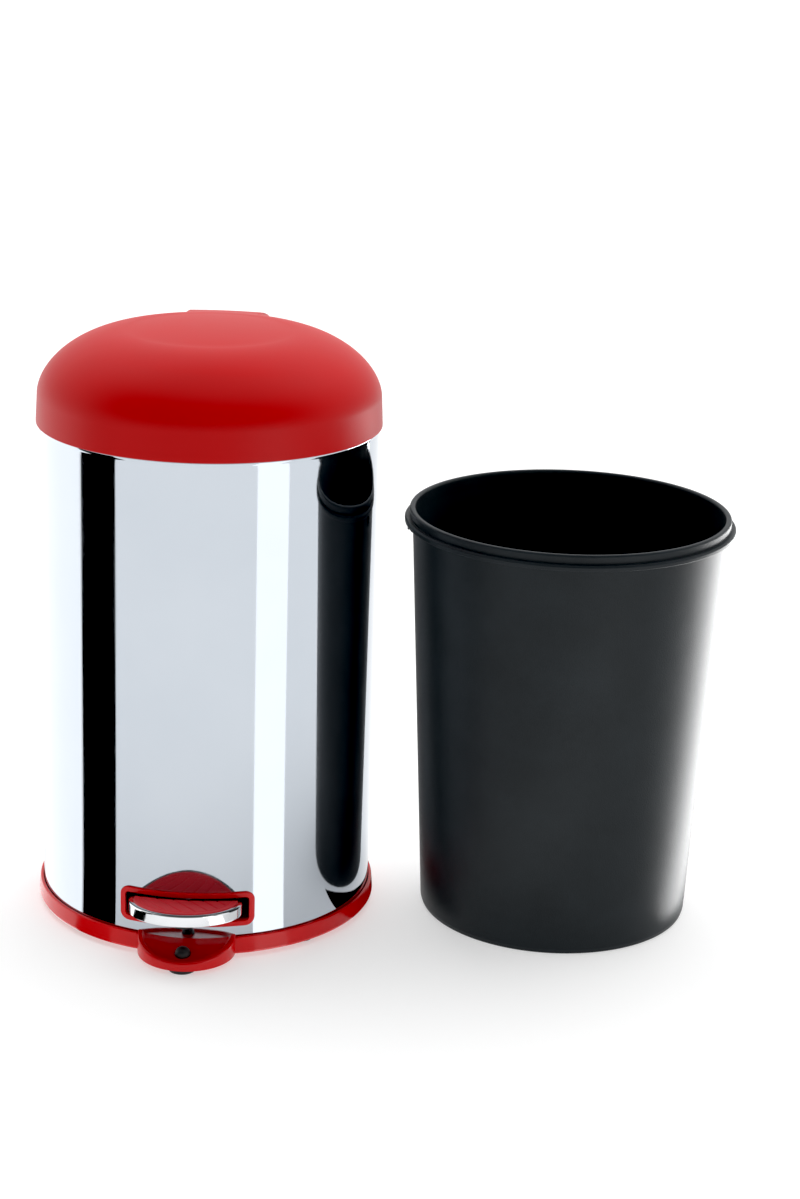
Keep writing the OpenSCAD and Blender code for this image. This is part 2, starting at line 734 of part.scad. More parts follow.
module lid_lever() {
    arm = [pad_y + arm_plate_t, seat_low + 8];
    color("#9EA4A8") difference() {
        union() {
            translate([-15, pad_y, seat_low]) cube([30, arm_plate_t, seat_h]);
            across_pair(fork_gap, fork_gap + fork_t) {
                bar([arm[0] - 1, arm[1]], [hinge_y, hinge_z], 11);
                bar([hinge_y, hinge_z], [link_y, link_z], 8);
                translate([hinge_y, hinge_z]) circle(r = pin_r + 3.5);
                translate([link_y, link_z]) circle(r = link_pin_r + 2.4);
            }
        }
        pin_across(hinge_y, hinge_z, pin_r, -10, 10);
        pin_across(link_y, link_z, link_pin_r, -10, 10);
        for (z = lever_screw_z) pin_along(0, z, shank_r, pad_y - 1, pad_y + 5);
        // the plate's front stays flat against its seat
        translate([-20, pad_y - 10, 0]) cube([40, 10, 600]);
    }
}

module lever_screws() {
    color("#B8BDC2") for (z = lever_screw_z) {
        pin_along(0, z, shank_r, skirt_r - 2, pad_y + arm_plate_t + 0.5);
        pin_along(0, z, 2.2, pad_y + arm_plate_t, pad_y + arm_plate_t + 1.2);
    }
}

module link_rivet() {
    out = fork_gap + fork_t;
    color("#B8BDC2") {
        pin_across(link_y, link_z, link_pin_r, -out - 0.5, out + 0.5);
        for (s = [-1, 1]) pin_across(link_y, link_z, link_pin_r + 1.2, s * (out + 0.5) - 0.5,
            s * (out + 0.5) + 0.5);
    }
}

module hinge_pin() {
    half = cover_w / 2;
    color("#B8BDC2") {
        pin_across(hinge_y, hinge_z, pin_r, -half - 0.5, half + 0.5);
        for (s = [-1, 1]) pin_across(hinge_y, hinge_z, pin_r + 1.5, s * (half + 0.6) - 0.6,
            s * (half + 0.6) + 0.6);
    }
}

module hinge_spacers() {
    far = cover_w / 2 - cheek_t;
    color("#E8E8E4") for (s = [-1, 1]) difference() {
        pin_across(hinge_y, hinge_z, pin_r + 2, s > 0 ? cover_x + move_gap : -far,
            s > 0 ? far : -cover_x - move_gap);
        pin_across(hinge_y, hinge_z, pin_r, -40, 40);
    }
}

// ---- bucket --------------------------------------------------------------

module bucket() {
    step = bucket_h - 7;
    color("#25282B") difference() {
        union() {
            rotate_extrude($fn = 180) polygon([
                [0, 2.5], [bucket_foot_r - 7, 2.5], [bucket_foot_r - 6, 0], [bucket_foot_r - 2.6, 0],
                [bucket_foot_r - 0.7, 0.8], [bucket_foot_r, 2.6], [bucket_top_r, step - 4],
                [bucket_rim_r - 1.4, step - 4], [bucket_rim_r, step - 2.8], [bucket_rim_r, step - 0.8],
                [bucket_rim_r - 0.8, step], [bucket_top_r + 2.4, step + 0.3],
                    [bucket_top_r + 2.4, bucket_h - 2.2],
                [bucket_top_r + 1.6, bucket_h - 0.5], [bucket_top_r + 0.2, bucket_h],
                [bucket_top_r - 1.2, bucket_h - 0.5], [bucket_top_r - bucket_wall, bucket_h - 2.2],
                [bucket_top_r - bucket_wall, step - 4], [bucket_foot_r - bucket_wall, 5], [0, 5]]);
            // round eyes for the bail, standing out from the wall
            for (s = [0, 180]) rotate([0, 0, s]) difference() {
                pin_across(0, bail_z, 4.2, bucket_top_r - 12, bucket_top_r + 1);
                bucket_core();
            }
        }
        for (s = [0, 180]) rotate([0, 0, s])
            pin_across(0, bail_z, bail_r + running_fit, bucket_top_r - 12, bucket_top_r + 5);
    }
}

// The conical space inside the bucket's wall
module bucket_core() {
    rotate_extrude($fn = 180) polygon([[0, 5], [bucket_foot_r - bucket_wall, 5],
        [bucket_top_r - bucket_wall, bucket_h - 11], [bucket_top_r - bucket_wall, bucket_h + 1],
            [0, bucket_h + 1]]);
}

module bucket_handle() {
    color("#2E3133") {
        translate([0, 0, bail_z]) rotate([-90, 0, 0]) rotate_extrude(angle = 180, $fn = 180)
            translate([bail_arc, 0]) circle(r = bail_r, $fn = 48);
        for (s = [-1, 1]) {
            translate([s * bail_arc, 0, bail_z]) sphere(r = bail_r, $fn = 48);
            pin_across(0, bail_z, bail_r, s > 0 ? bail_arc : -bail_end, s > 0 ? bail_end : -bail_arc);
            pin_across(0, bail_z, bail_r + 0.9, s * (bail_end + 0.6) - 0.6, s * (bail_end + 0.6) + 0.6);
        }
    }
}

bin() base_moulding();
bin() foot_pads();
bin() front_foot();
bin() pedal_bumper();
bin() body_shell();
bin() shell_rivets();
bin() top_collar();
bin() pedal_bezel();
bin() pivot_bracket();
bin() bracket_screws();
bin() pivot_pin();
bin() pivot_clip();
bin() rod_cover();
bin() cover_screws();
bin() rod_guides();
bin() hinge_bracket();
bin() hinge_screws();
bin() pedal_lever();
bin() pedal_plate();
bin() pedal_pad();
bin() lever_rivets();
bin() pedal_stop();
bin() lift_rod();
bin() rod_collar();
bin() lid_dome();
bin() lid_buffers();
bin() lid_lever();
bin() lever_screws();
bin() link_rivet();
bin() hinge_pin();
bin() hinge_spacers();
beside() bucket();
beside() bucket_handle();
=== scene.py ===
import math
import bmesh
import bpy
import numpy as np
from mathutils import Matrix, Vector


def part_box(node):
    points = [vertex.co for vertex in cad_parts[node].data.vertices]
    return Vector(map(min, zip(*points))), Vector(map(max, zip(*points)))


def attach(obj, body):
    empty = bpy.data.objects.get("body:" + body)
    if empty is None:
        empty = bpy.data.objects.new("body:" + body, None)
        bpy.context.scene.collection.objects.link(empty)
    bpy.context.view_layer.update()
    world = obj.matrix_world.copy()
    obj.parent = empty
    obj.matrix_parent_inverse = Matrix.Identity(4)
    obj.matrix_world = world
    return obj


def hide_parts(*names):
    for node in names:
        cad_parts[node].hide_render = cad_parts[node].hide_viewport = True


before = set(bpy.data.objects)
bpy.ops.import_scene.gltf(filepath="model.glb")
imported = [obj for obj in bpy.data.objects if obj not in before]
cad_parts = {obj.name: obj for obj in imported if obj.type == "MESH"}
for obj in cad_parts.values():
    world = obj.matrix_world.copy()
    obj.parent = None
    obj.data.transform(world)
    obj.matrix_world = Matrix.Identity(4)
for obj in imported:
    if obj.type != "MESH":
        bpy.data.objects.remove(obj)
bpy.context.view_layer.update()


# CAMERA
# A long lens stands in front of the bin, a little to its right, and looks down on
# the lid. Its long side is the picture's height.
camera = bpy.data.objects.new("camera", bpy.data.cameras.new("camera"))
bpy.context.collection.objects.link(camera)
bpy.context.scene.camera = camera
camera.data.lens = 79.3
camera.data.sensor_width = 36
camera.data.clip_end = 60
camera.matrix_world = (Matrix.Translation((0.09575, -1.87938, 0.8379))
                       @ Matrix.Rotation(math.radians(2.53), 4, "Z")
                       @ Matrix.Rotation(math.pi / 2 - 0.3061, 4, "X")
                       @ Matrix.Rotation(0.030, 4, "Z"))


# POLISHED STEEL BODY
# Stainless sheet 0.8 mm thick, rolled into a tube, seam welded and polished to a mirror,
# with a window pressed out for the pedal and a thin bead rolled round its top edge.
shell_low, shell_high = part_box("body_shell")
bin_axis = np.array([(shell_low.x + shell_high.x) / 2, (shell_low.y + shell_high.y) / 2, 0])
body_r = 1000 * (shell_high.x - shell_low.x) / 2
body_foot = 1000 * shell_low.z
body_top = 1000 * shell_high.z
sheet = 0.8
inner_r = body_r - sheet


def eased(corners, closed=True, steps=5):
    """An outline with rounded corners. Each corner is (x, y, radius): its two tangent points lie radius / tan(half
    its angle) away along its sides, and a quadratic curve with the corner as its middle handle joins them."""
    corners = np.array(corners, float)
    spot, radius = corners[:, :2], corners[:, 2]
    back, ahead = np.roll(spot, 1, 0) - spot, np.roll(spot, -1, 0) - spot
    back_run, ahead_run = np.linalg.norm(back, axis=1), np.linalg.norm(ahead, axis=1)
    back, ahead = back / back_run[:, None], ahead / ahead_run[:, None]
    half = np.arccos(np.clip((back * ahead).sum(1), -1, 1)) / 2
    reach = np.minimum(radius / np.tan(np.maximum(half, 0.01)), 0.45 * np.minimum(back_run, ahead_run))
    if not closed:
        reach[[0, -1]] = 0
    s = np.linspace(0, 1, steps)[None, :, None]
    start, end = spot + back * reach[:, None], spot + ahead * reach[:, None]
    curve = ((1 - s) ** 2 * start[:, None] + 2 * s * (1 - s) * spot[:, None] + s ** 2 * end[:, None]).reshape(-1, 2)
    if not closed:
        curve = curve[steps - 1:len(curve) - steps + 1]
    step = np.linalg.norm(np.roll(curve, -1, 0) - curve, axis=1)
    return curve[(step > 1e-6) | (not closed) & (np.arange(len(curve)) == len(curve) - 1)]


def skin(grid, wrap=True, loop=False):
    """Points and quads of a grid (rows, columns, 3). Wrap joins the last column to the first and loop the last row
    to the first. A row or column that has shrunk to one point is a pole, and shares that point."""
    rows, columns = grid.shape[:2]
    index = np.arange(rows * columns).reshape(rows, columns)
    pole = np.ptp(grid, axis=1).max(1) < 1e-9
    index[pole] = index[pole][:, :1]
    pole = np.ptp(grid, axis=0).max(1) < 1e-9
    index[:, pole] = index[:1, pole]
    if wrap:
        index = np.hstack([index, index[:, :1]])
    if loop:
        index = np.vstack([index, index[:1]])
    quads = np.stack([index[:-1, :-1], index[:-1, 1:], index[1:, 1:], index[1:, :-1]], -1).reshape(-1, 4)
    return grid.reshape(-1, 3), quads


def turned(outline, columns=180, phase=0.0):
    """A grid of a surface of revolution: every (radius, height) of the outline goes round the upright axis."""
    angle = np.linspace(0, 2 * np.pi, columns, endpoint=False) + phase
    radius, height = outline[:, 0][:, None], outline[:, 1][:, None]
    return np.stack([radius * np.cos(angle), radius * np.sin(angle), height + 0 * angle], -1)


def solid(name, *parts, about=bin_axis, crease=32):
    """One mesh object from (points, quads) parts in millimetres about an axis. Each part is a closed skin: it is
    turned inside out if its volume comes out negative, a quad with two equal corners becomes a triangle, and
    points that no face uses are dropped. Edges sharper than the crease angle stay sharp."""
    points, faces, start = [], [], 0
    for spots, quads in parts:
        used, quads = np.unique(quads, return_inverse=True)
        spots, quads = spots[used], quads.reshape(-1, 4)
        a, b, c, d = (spots[quads[:, i]] for i in range(4))
        volume = (np.cross(a, b) * c).sum() + (np.cross(a, c) * d).sum()
        quads = quads[:, ::-1] if volume < 0 else quads
        own = quads != np.roll(quads, 1, axis=1)
        sides = own.sum(1)
        faces += (quads[sides == 4] + start).tolist()
        faces += (quads[sides == 3][own[sides == 3]].reshape(-1, 3) + start).tolist()
        points.append(spots)
        start += len(spots)
    mesh = bpy.data.meshes.new(name)
    mesh.from_pydata((np.vstack(points) / 1000 + about).tolist(), [], faces)
    mesh.shade_smooth()
    mesh.set_sharp_from_angle(angle=math.radians(crease))
    made = bpy.data.objects.new(name, mesh)
    bpy.context.collection.objects.link(made)
    return made


def even_normals(piece):
    """Weights each corner's normal by the size of its faces, so that flats stay flat beside small roundings."""
    weigh = piece.modifiers.new("even normals", "WEIGHTED_NORMAL")
    weigh.keep_sharp = True
    weigh.weight = 100
    return piece


def linear(code):
    """A colour for a shader from its sRGB hex code."""
    part = np.array([int(code[i:i + 2], 16) for i in (1, 3, 5)]) / 255
    return (*np.where(part < 0.04045, part / 12.92, ((part + 0.055) / 1.055) ** 2.4), 1)


def add(tree, kind, feeds=(), **settings):
    """Adds one node. Settings are its own options, and feeds gives each socket a value or another node's output."""
    made = tree.nodes.new(kind)
    for key, value in settings.items():
        setattr(made, key, value)
    for key, value in dict(feeds).items():
        if isinstance(value, bpy.types.NodeSocket):
            tree.links.new(value, made.inputs[key])
        else:
            made.inputs[key].default_value = value
    return made


def new_material(name):
    """An empty node material with its output node: (material, tree, output)."""
    made = bpy.data.materials.new(name)
    made.use_nodes = True
    made.node_tree.nodes.clear()
    return made, made.node_tree, add(made.node_tree, "ShaderNodeOutputMaterial")


# the wall is a closed outline, outside up and inside down; its bead stands 0.3 mm proud below the top edge
columns = 480
window_columns = 60
window_turn = 22.5
frame_lap = 2.2
window_low, window_high = 1000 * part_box("pedal_bezel")[0].z + frame_lap, 1000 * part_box("pedal_bezel")[1].z - frame_lap
edge = [(body_r, body_foot), (body_r, window_low), (body_r, window_high), (body_r, body_top - 8),
        (body_r, body_top - 4.7), (body_r + 0.08, body_top - 4.3), (body_r + 0.25, body_top - 3.8),
        (body_r + 0.3, body_top - 3.2), (body_r + 0.25, body_top - 2.6), (body_r + 0.08, body_top - 2.1),
        (body_r, body_top - 1.7), (body_r, body_top - 0.2), (body_r - 0.2, body_top), (inner_r + 0.2, body_top),
        (inner_r, body_top - 0.2), (inner_r, window_high), (inner_r, window_low), (inner_r, body_foot)]
wall, wall_quads = skin(turned(np.array(edge), columns, math.pi / columns), loop=True)
# the window: its faces are left out of both skins, and four strips across the sheet close its edge
index = np.arange(len(edge) * columns).reshape(len(edge), columns)
first = int(round((270 - window_turn) / 360 * columns))
hole = np.arange(first, first + window_columns)
out_low, out_high, in_high, in_low = 1, 2, 15, 16
gone = np.isin(wall_quads[:, 0], index[[out_low, in_high]][:, hole[:-1]])
wall_quads = wall_quads[~gone]
sill, head = index[[out_low, in_low]][:, hole], index[[out_high, in_high]][:, hole]
jamb = [index[[out_low, out_high, in_high, in_low], h] for h in (hole[0], hole[-1])]
wall_quads = np.vstack([wall_quads,
                        np.stack([sill[0, 1:], sill[0, :-1], sill[1, :-1], sill[1, 1:]], -1),
                        np.stack([head[0, :-1], head[0, 1:], head[1, 1:], head[1, :-1]], -1),
                        [jamb[0][::-1]], [jamb[1]]])
steel_body = even_normals(solid("steel_body", (wall, wall_quads)))

# Mirror-polished stainless steel: bright and faintly cool, with fine polishing lines round
# the tube and a slight change of gloss where it has been wiped.
mirror_steel, tree, out = new_material("mirror-polished stainless steel")
where = add(tree, "ShaderNodeTexCoord").outputs["Object"]
lines = add(tree, "ShaderNodeMapping", {"Vector": where, "Scale": (18, 18, 700)})
polish = add(tree, "ShaderNodeTexNoise", {"Vector": lines.outputs[0], "Scale": 1.0, "Detail": 3.0})
wiped = add(tree, "ShaderNodeTexNoise", {"Vector": where, "Scale": 14.0, "Detail": 3.0})
blend = add(tree, "ShaderNodeMath", {0: polish.outputs[0], 1: wiped.outputs[0]}, operation="MULTIPLY")
gloss = add(tree, "ShaderNodeMapRange", {"Value": blend.outputs[0], "From Min": 0.12, "From Max": 0.42,
                                         "To Min": 0.035, "To Max": 0.085})
tone = add(tree, "ShaderNodeValToRGB", {"Fac": wiped.outputs[0]})
tone.color_ramp.elements[0].color = linear("#BBC2CA")
tone.color_ramp.elements[1].color = linear("#C3C9D0")
dent = add(tree, "ShaderNodeBump", {"Height": polish.outputs[0], "Strength": 0.02, "Distance": 0.0002})
shader = add(tree, "ShaderNodeBsdfPrincipled", {"Base Color": tone.outputs[0], "Metallic": 1.0,
                                                "Roughness": gloss.outputs[0], "Normal": dent.outputs[0]})
tree.links.new(shader.outputs[0], out.inputs["Surface"])
steel_body.data.materials.append(mirror_steel)
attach(steel_body, "bin")
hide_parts("body_shell")


# BASE RING AND TONGUE
# One injection moulding in glossy red: a floor with a low wall that the steel stands
# round, a ring outside the steel, and a scooped tongue in front under the pedal.
base_low, base_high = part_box("base_moulding")
foot_top = 1000 * base_low.z
upstand_top = 1000 * base_high.z
ring_r = body_r + 3.5
ring_top = 16.5
ring_foot_w = 18.0
floor_low, floor_high = 9.0, 12.5
groove_low = 9.6
outline = eased([(0, floor_low, 0), (ring_r - ring_foot_w, floor_low, 0.6), (ring_r - ring_foot_w, foot_top, 0.4),
                 (ring_r - 1.4, foot_top, 0.8), (ring_r, foot_top + 2, 1.2), (ring_r - 0.8, ring_top, 1.6),
                 (body_r + 0.5, ring_top, 0.35), (body_r + 0.3, groove_low, 0.1), (inner_r - 0.2, groove_low, 0.1),
                 (inner_r - 0.2, upstand_top, 0.5), (inner_r - 2.4, upstand_top, 0.5),
                 (inner_r - 2.6, floor_high, 1.5), (0, floor_high, 0)], closed=False)
tongue_r = 36.0
tongue_reach = 31.5
tongue_y = -(body_r + tongue_reach - tongue_r)
tip_top = 9.2
lip_run = tongue_reach - 2
under_tongue = 2.4


def lip_height(y):
    """The tongue's top falls in a straight slope from the ring's top edge to its tip."""
    return ring_top + (tip_top - ring_top) * (-y - body_r - 2) / lip_run


ring = turned(outline, 360)
from_rim = tongue_r - np.hypot(ring[..., 0], ring[..., 1] - tongue_y)
outside = (np.hypot(ring[..., 0], ring[..., 1]) > body_r + 0.2) & (ring[..., 2] > 10) & (from_rim > 0)
ring[..., 2] = np.where(outside, np.minimum(ring[..., 2], lip_height(ring[..., 1]) - under_tongue), ring[..., 2])

turn = np.linspace(-math.pi / 2, math.pi / 2, 121)[None, :]
rim_x, rim_y = tongue_r * np.sin(turn), tongue_y - tongue_r * np.cos(turn)
root_y = np.maximum(-np.sqrt((body_r - 0.6) ** 2 - rim_x ** 2), rim_y)
share = np.concatenate([np.linspace(0, 0.74, 14)[:-1], np.linspace(0.74, 1, 24)])[:, None]
x = rim_x + 0 * share
y = rim_y * share + root_y * (1 - share)
from_rim = tongue_r - np.hypot(x, y - tongue_y)
border, scoop, soft = 3.2, 1.8, 1.6
sink = np.clip((from_rim - border) / scoop, 0, 1)
over = np.clip((soft - from_rim) / soft, 0, 1)
z = lip_height(y) - scoop * sink ** 2 * (3 - 2 * sink) - soft * (1 - np.sqrt(1 - over ** 2))
drop = np.linspace(1, 0, 5)[1:, None]
grid = np.concatenate([np.stack([x, y, z], -1),
                       np.stack([rim_x + 0 * drop, rim_y + 0 * drop, foot_top + (z[-1:] - foot_top) * drop], -1),
                       np.stack([rim_x, root_y, foot_top + 0 * rim_x], -1)])
tip_a, tip_b = grid[:, :1].mean(0, keepdims=True), grid[:, -1:].mean(0, keepdims=True)
grid = np.hstack([tip_a + 0 * grid[:, :1], grid, tip_b + 0 * grid[:, :1]])
tongue_skin = skin(grid, wrap=False, loop=True)

red_base = even_normals(solid("red_base", skin(ring), tongue_skin))

# Glossy red moulded plastic, as in polypropylene from a polished tool: a clear highlight
# that is slightly broken by the moulding's orange peel.
red_gloss, tree, out = new_material("glossy moulded red plastic")
where = add(tree, "ShaderNodeTexCoord").outputs["Object"]
peel = add(tree, "ShaderNodeTexNoise", {"Vector": where, "Scale": 260.0, "Detail": 2.0})
drift = add(tree, "ShaderNodeTexNoise", {"Vector": where, "Scale": 22.0, "Detail": 2.0})
tone = add(tree, "ShaderNodeValToRGB", {"Fac": drift.outputs[0]})
tone.color_ramp.elements[0].color = linear("#D20008")
tone.color_ramp.elements[1].color = linear("#E2060E")
gloss = add(tree, "ShaderNodeMapRange", {"Value": drift.outputs[0], "To Min": 0.16, "To Max": 0.28})
dent = add(tree, "ShaderNodeBump", {"Height": peel.outputs[0], "Strength": 0.08, "Distance": 0.0003})
shader = add(tree, "ShaderNodeBsdfPrincipled", {"Base Color": tone.outputs[0], "Roughness": gloss.outputs[0],
                                                "Normal": dent.outputs[0], "IOR": 1.49, "Specular IOR Level": 0.35})
tree.links.new(shader.outputs[0], out.inputs["Surface"])
red_base.data.materials.append(red_gloss)
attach(red_base, "bin")
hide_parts("base_moulding")


# PEDAL BEZEL
# A glossy red moulded frame that snaps into the window of the steel: a flat rim on the
# outside and a sleeve that lines the window's edge.
bezel_low, bezel_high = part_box("pedal_bezel")
rim_w = 4.0
half_w = 500 * (bezel_high.x - bezel_low.x) - rim_w
half_h = 500 * (bezel_high.z - bezel_low.z) - rim_w
window_z = 500 * (bezel_high.z + bezel_low.z)


def soft_frame(half_w, half_h, radius, long_steps=48, short_steps=10, arc_steps=10):
    """Points and outward normals of a rectangle with round corners, as (n, 4): four straight runs and four quarter
    circles in turn, anticlockwise from the lower right corner."""
    runs = []
    for quarter, (cx, cz, steps) in enumerate([(1, -1, short_steps), (1, 1, long_steps), (-1, 1, short_steps),
                                               (-1, -1, long_steps)]):
        centre = np.array([cx * (half_w - radius), cz * (half_h - radius)])
        angle = np.linspace(quarter - 1, quarter, arc_steps) * math.pi / 2
        normal = np.stack([np.cos(angle), np.sin(angle)], -1)
        runs.append(np.hstack([centre + radius * normal, normal]))
        following = np.array([[1, 1], [-1, 1], [-1, -1], [1, -1]][quarter]) * (half_w - radius, half_h - radius)
        t = np.linspace(0, 1, steps + 2)[1:-1, None]
        ends = centre + radius * normal[-1], following + radius * normal[-1]
        runs.append(np.hstack([ends[0] * (1 - t) + ends[1] * t, normal[-1] + 0 * t * np.ones(2)]))
    return np.vstack(runs)


path = soft_frame(half_w, half_h, 2.5)
sleeve_t, sleeve_in, rim_t, lift = 1.8, -2.8, 1.8, 0.03
profile = eased([(0, sleeve_in, 0.3), (sleeve_t, sleeve_in, 0.3), (sleeve_t, lift, 0.05), (rim_w, lift, 0.15),
                 (rim_w, rim_t, 1.1), (0, rim_t, 0.9)])
across, proud = profile[:, 0][:, None], profile[:, 1][:, None]
x = path[:, 0] + path[:, 2] * across
z = window_z + path[:, 1] + path[:, 3] * across
y = -np.sqrt((body_r + proud) ** 2 - x ** 2)
bezel = even_normals(solid("pedal_frame", skin(np.stack([x, y, z], -1), loop=True)))
bezel.data.materials.append(red_gloss)
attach(bezel, "bin")
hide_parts("pedal_bezel")


# RUBBER FEET AND BUMPER
# Black moulded rubber: four round pads under the ring, a wider one under the tongue, and a
# domed bumper pressed into the tongue, which the pedal lands on.
def foot(x, y, radius, height):
    """A round pad: a turned outline with a soft lower edge, moved to its place."""
    outline = eased([(0, 0, 0), (radius, 0, 0.7), (radius, height, 0.2), (0, height, 0)], closed=False)
    points, quads = skin(turned(outline, 48))
    return points + [x, y, 0], quads


foot_r = 8.5
foot_ring = body_r - 6.5 - foot_r / 2
feet = solid("ring_feet", *[foot(foot_ring * math.cos(a), foot_ring * math.sin(a), foot_r, foot_top)
                            for a in np.radians([45, 135, 225, 315])])
tongue_foot = solid("tongue_foot", foot(0, -(body_r + tongue_reach - 11), 10, foot_top))
bumper_r, stem_r, stem_low = 6.0, 2.9, 6.0
bumper_y = -(body_r + tongue_reach - 14)
bumper_top = 1000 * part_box("pedal_bumper")[1].z
bumper_seat = lip_height(bumper_y - bumper_r) - 2.3
arc = np.radians(np.linspace(0, 90, 14))
outline = np.vstack([eased([(0, stem_low, 0), (stem_r, stem_low, 0.2), (stem_r, bumper_seat, 0.1),
                            (bumper_r, bumper_seat, 0.2), (bumper_r, bumper_top - bumper_r - 0.2, 0.5)], closed=False),
                     np.stack([bumper_r * np.cos(arc), bumper_top - bumper_r + bumper_r * np.sin(arc)], -1)])
outline[-1, 0] = 0
points, quads = skin(turned(outline, 72))
bumper = even_normals(solid("landing_bumper", (points + [0, bumper_y, 0], quads)))

# Moulded natural rubber: matt, almost black, with a dry bloom in patches.
rubber, tree, out = new_material("moulded black rubber")
where = add(tree, "ShaderNodeTexCoord").outputs["Object"]
bloom = add(tree, "ShaderNodeTexNoise", {"Vector": where, "Scale": 180.0, "Detail": 4.0})
tone = add(tree, "ShaderNodeValToRGB", {"Fac": bloom.outputs[0]})
tone.color_ramp.elements[0].color = linear("#0B0B0C")
tone.color_ramp.elements[1].color = linear("#1C1C1E")
dent = add(tree, "ShaderNodeBump", {"Height": bloom.outputs[0], "Strength": 0.15, "Distance": 0.0003})
gloss = add(tree, "ShaderNodeMapRange", {"Value": bloom.outputs[0], "To Min": 0.38, "To Max": 0.62})
shader = add(tree, "ShaderNodeBsdfPrincipled", {"Base Color": tone.outputs[0], "Roughness": gloss.outputs[0],
                                                "Normal": dent.outputs[0], "IOR": 1.52})
tree.links.new(shader.outputs[0], out.inputs["Surface"])
for piece, cad in ((feet, "foot_pads"), (tongue_foot, "front_foot"), (bumper, "pedal_bumper")):
    piece.data.materials.append(rubber)
    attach(piece, "bin")
    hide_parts(cad)


# TOP COLLAR
# A satin black moulded ring that caps the raw edge of the steel and carries the lid.
collar_top = 1000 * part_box("top_collar")[1].z
collar_low = body_top - 14
sleeve_r, lip_r = inner_r - 1.8, inner_r - 4.4
outline = eased([(sleeve_r, collar_low, 0.4), (inner_r - 0.1, collar_low, 0.2), (inner_r - 0.1, body_top, 0.05),
                 (body_r, body_top, 0.1), (body_r, collar_top, 0.8), (lip_r, collar_top, 0.9),
                 (lip_r, body_top - 0.4, 0.4), (sleeve_r, body_top - 3, 0.8)])
collar = even_normals(solid("top_ring", skin(turned(outline, 300), loop=True)))

# Moulded black ABS with a fine spark-eroded texture: satin, never quite black.
black_plastic, tree, out = new_material("spark-textured black plastic")
where = add(tree, "ShaderNodeTexCoord").outputs["Object"]
grain = add(tree, "ShaderNodeTexNoise", {"Vector": where, "Scale": 1400.0, "Detail": 2.0})
drift = add(tree, "ShaderNodeTexNoise", {"Vector": where, "Scale": 40.0, "Detail": 2.0})
tone = add(tree, "ShaderNodeValToRGB", {"Fac": drift.outputs[0]})
tone.color_ramp.elements[0].color = linear("#111315")
tone.color_ramp.elements[1].color = linear("#1D2022")
dent = add(tree, "ShaderNodeBump", {"Height": grain.outputs[0], "Strength": 0.2, "Distance": 0.0002})
gloss = add(tree, "ShaderNodeMapRange", {"Value": drift.outputs[0], "To Min": 0.34, "To Max": 0.46})
shader = add(tree, "ShaderNodeBsdfPrincipled", {"Base Color": tone.outputs[0], "Roughness": gloss.outputs[0],
                                                "Normal": dent.outputs[0], "IOR": 1.54})
tree.links.new(shader.outputs[0], out.inputs["Surface"])
collar.data.materials.append(black_plastic)
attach(collar, "bin")
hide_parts("top_collar")


# PEDAL PLATE
# A pressed steel half-round with a turned-down band round its front and a neck that passes
# through the window to the lever, bright chrome plated.
pivot_y, pivot_z = -20.0, 20.0
slope = math.radians(7.5)
pedal_r = 41.5
plate_y = -108.265
plate_top = 10.256
plate_t = 2.0
pedal_gap = body_r + 3.4
plate_r = pedal_r - 1.7
neck_half, neck_tip_half = 41.0, 13.0


def at_pedal(points):
    """Turns points from the lever's level frame to its slope at rest, about the pivot."""
    y, z = points[..., 1], points[..., 2]
    return np.stack([points[..., 0], pivot_y + y * math.cos(slope) + z * math.sin(slope),
                     pivot_z - y * math.sin(slope) + z * math.cos(slope)], -1)


def behind(x, z):
    """Where the pedal's back edge is, in the lever's frame, so that it follows the steel a small gap away."""
    return (-np.sqrt(pedal_gap ** 2 - x ** 2) - pivot_y - z * math.sin(slope)) / math.cos(slope)


def capped(grid):
    """A grid whose columns are closed loops, with a pole added at each end of the run to close it."""
    near, far = grid[:, :1].mean(0, keepdims=True), grid[:, -1:].mean(0, keepdims=True)
    return np.hstack([near + 0 * grid[:, :1], grid, far + 0 * grid[:, :1]])


band_top = plate_top + 1.8
band_low = band_top - 8.5
band_t, band_lip, band_turn = 1.8, 3.5, 96.2
turn = np.radians(np.linspace(-band_turn, band_turn, 145))[None, :]
profile = eased([(-band_t, band_low, 0.5), (0, band_low, 0.8), (0, band_top, 2.8), (-band_lip, band_top, 0.5),
                 (-band_lip, band_top - 1.7, 0.3), (-band_t, band_top - 4.2, 0.5)], steps=6)
radius, z = pedal_r + profile[:, 0][:, None], profile[:, 1][:, None]
band = at_pedal(np.stack([radius * np.sin(turn), plate_y - radius * np.cos(turn), z + 0 * turn], -1))


def slab(front, back, low, high, ease=0.4):
    """A flat plate between its front and back outlines, (x, y) at equal steps, with its long edges rounded: each row
    is a mix of the two outlines at one height, and the rows go round the plate's section."""
    rows = [(0.0, low + ease), (0.01, low), (0.5, low), (0.99, low), (1.0, low + ease), (1.0, high - ease),
            (0.99, high), (0.5, high), (0.01, high), (0.0, high - ease)]
    return np.stack([np.column_stack([front * share + back * (1 - share), np.full(len(front), level)])
                     for share, level in rows])


def level_line(half, y):
    """A straight line of (x, y) points across the lever, from -half to half."""
    return np.stack([half * np.linspace(-1, 1, 61), np.full(61, y)], -1)


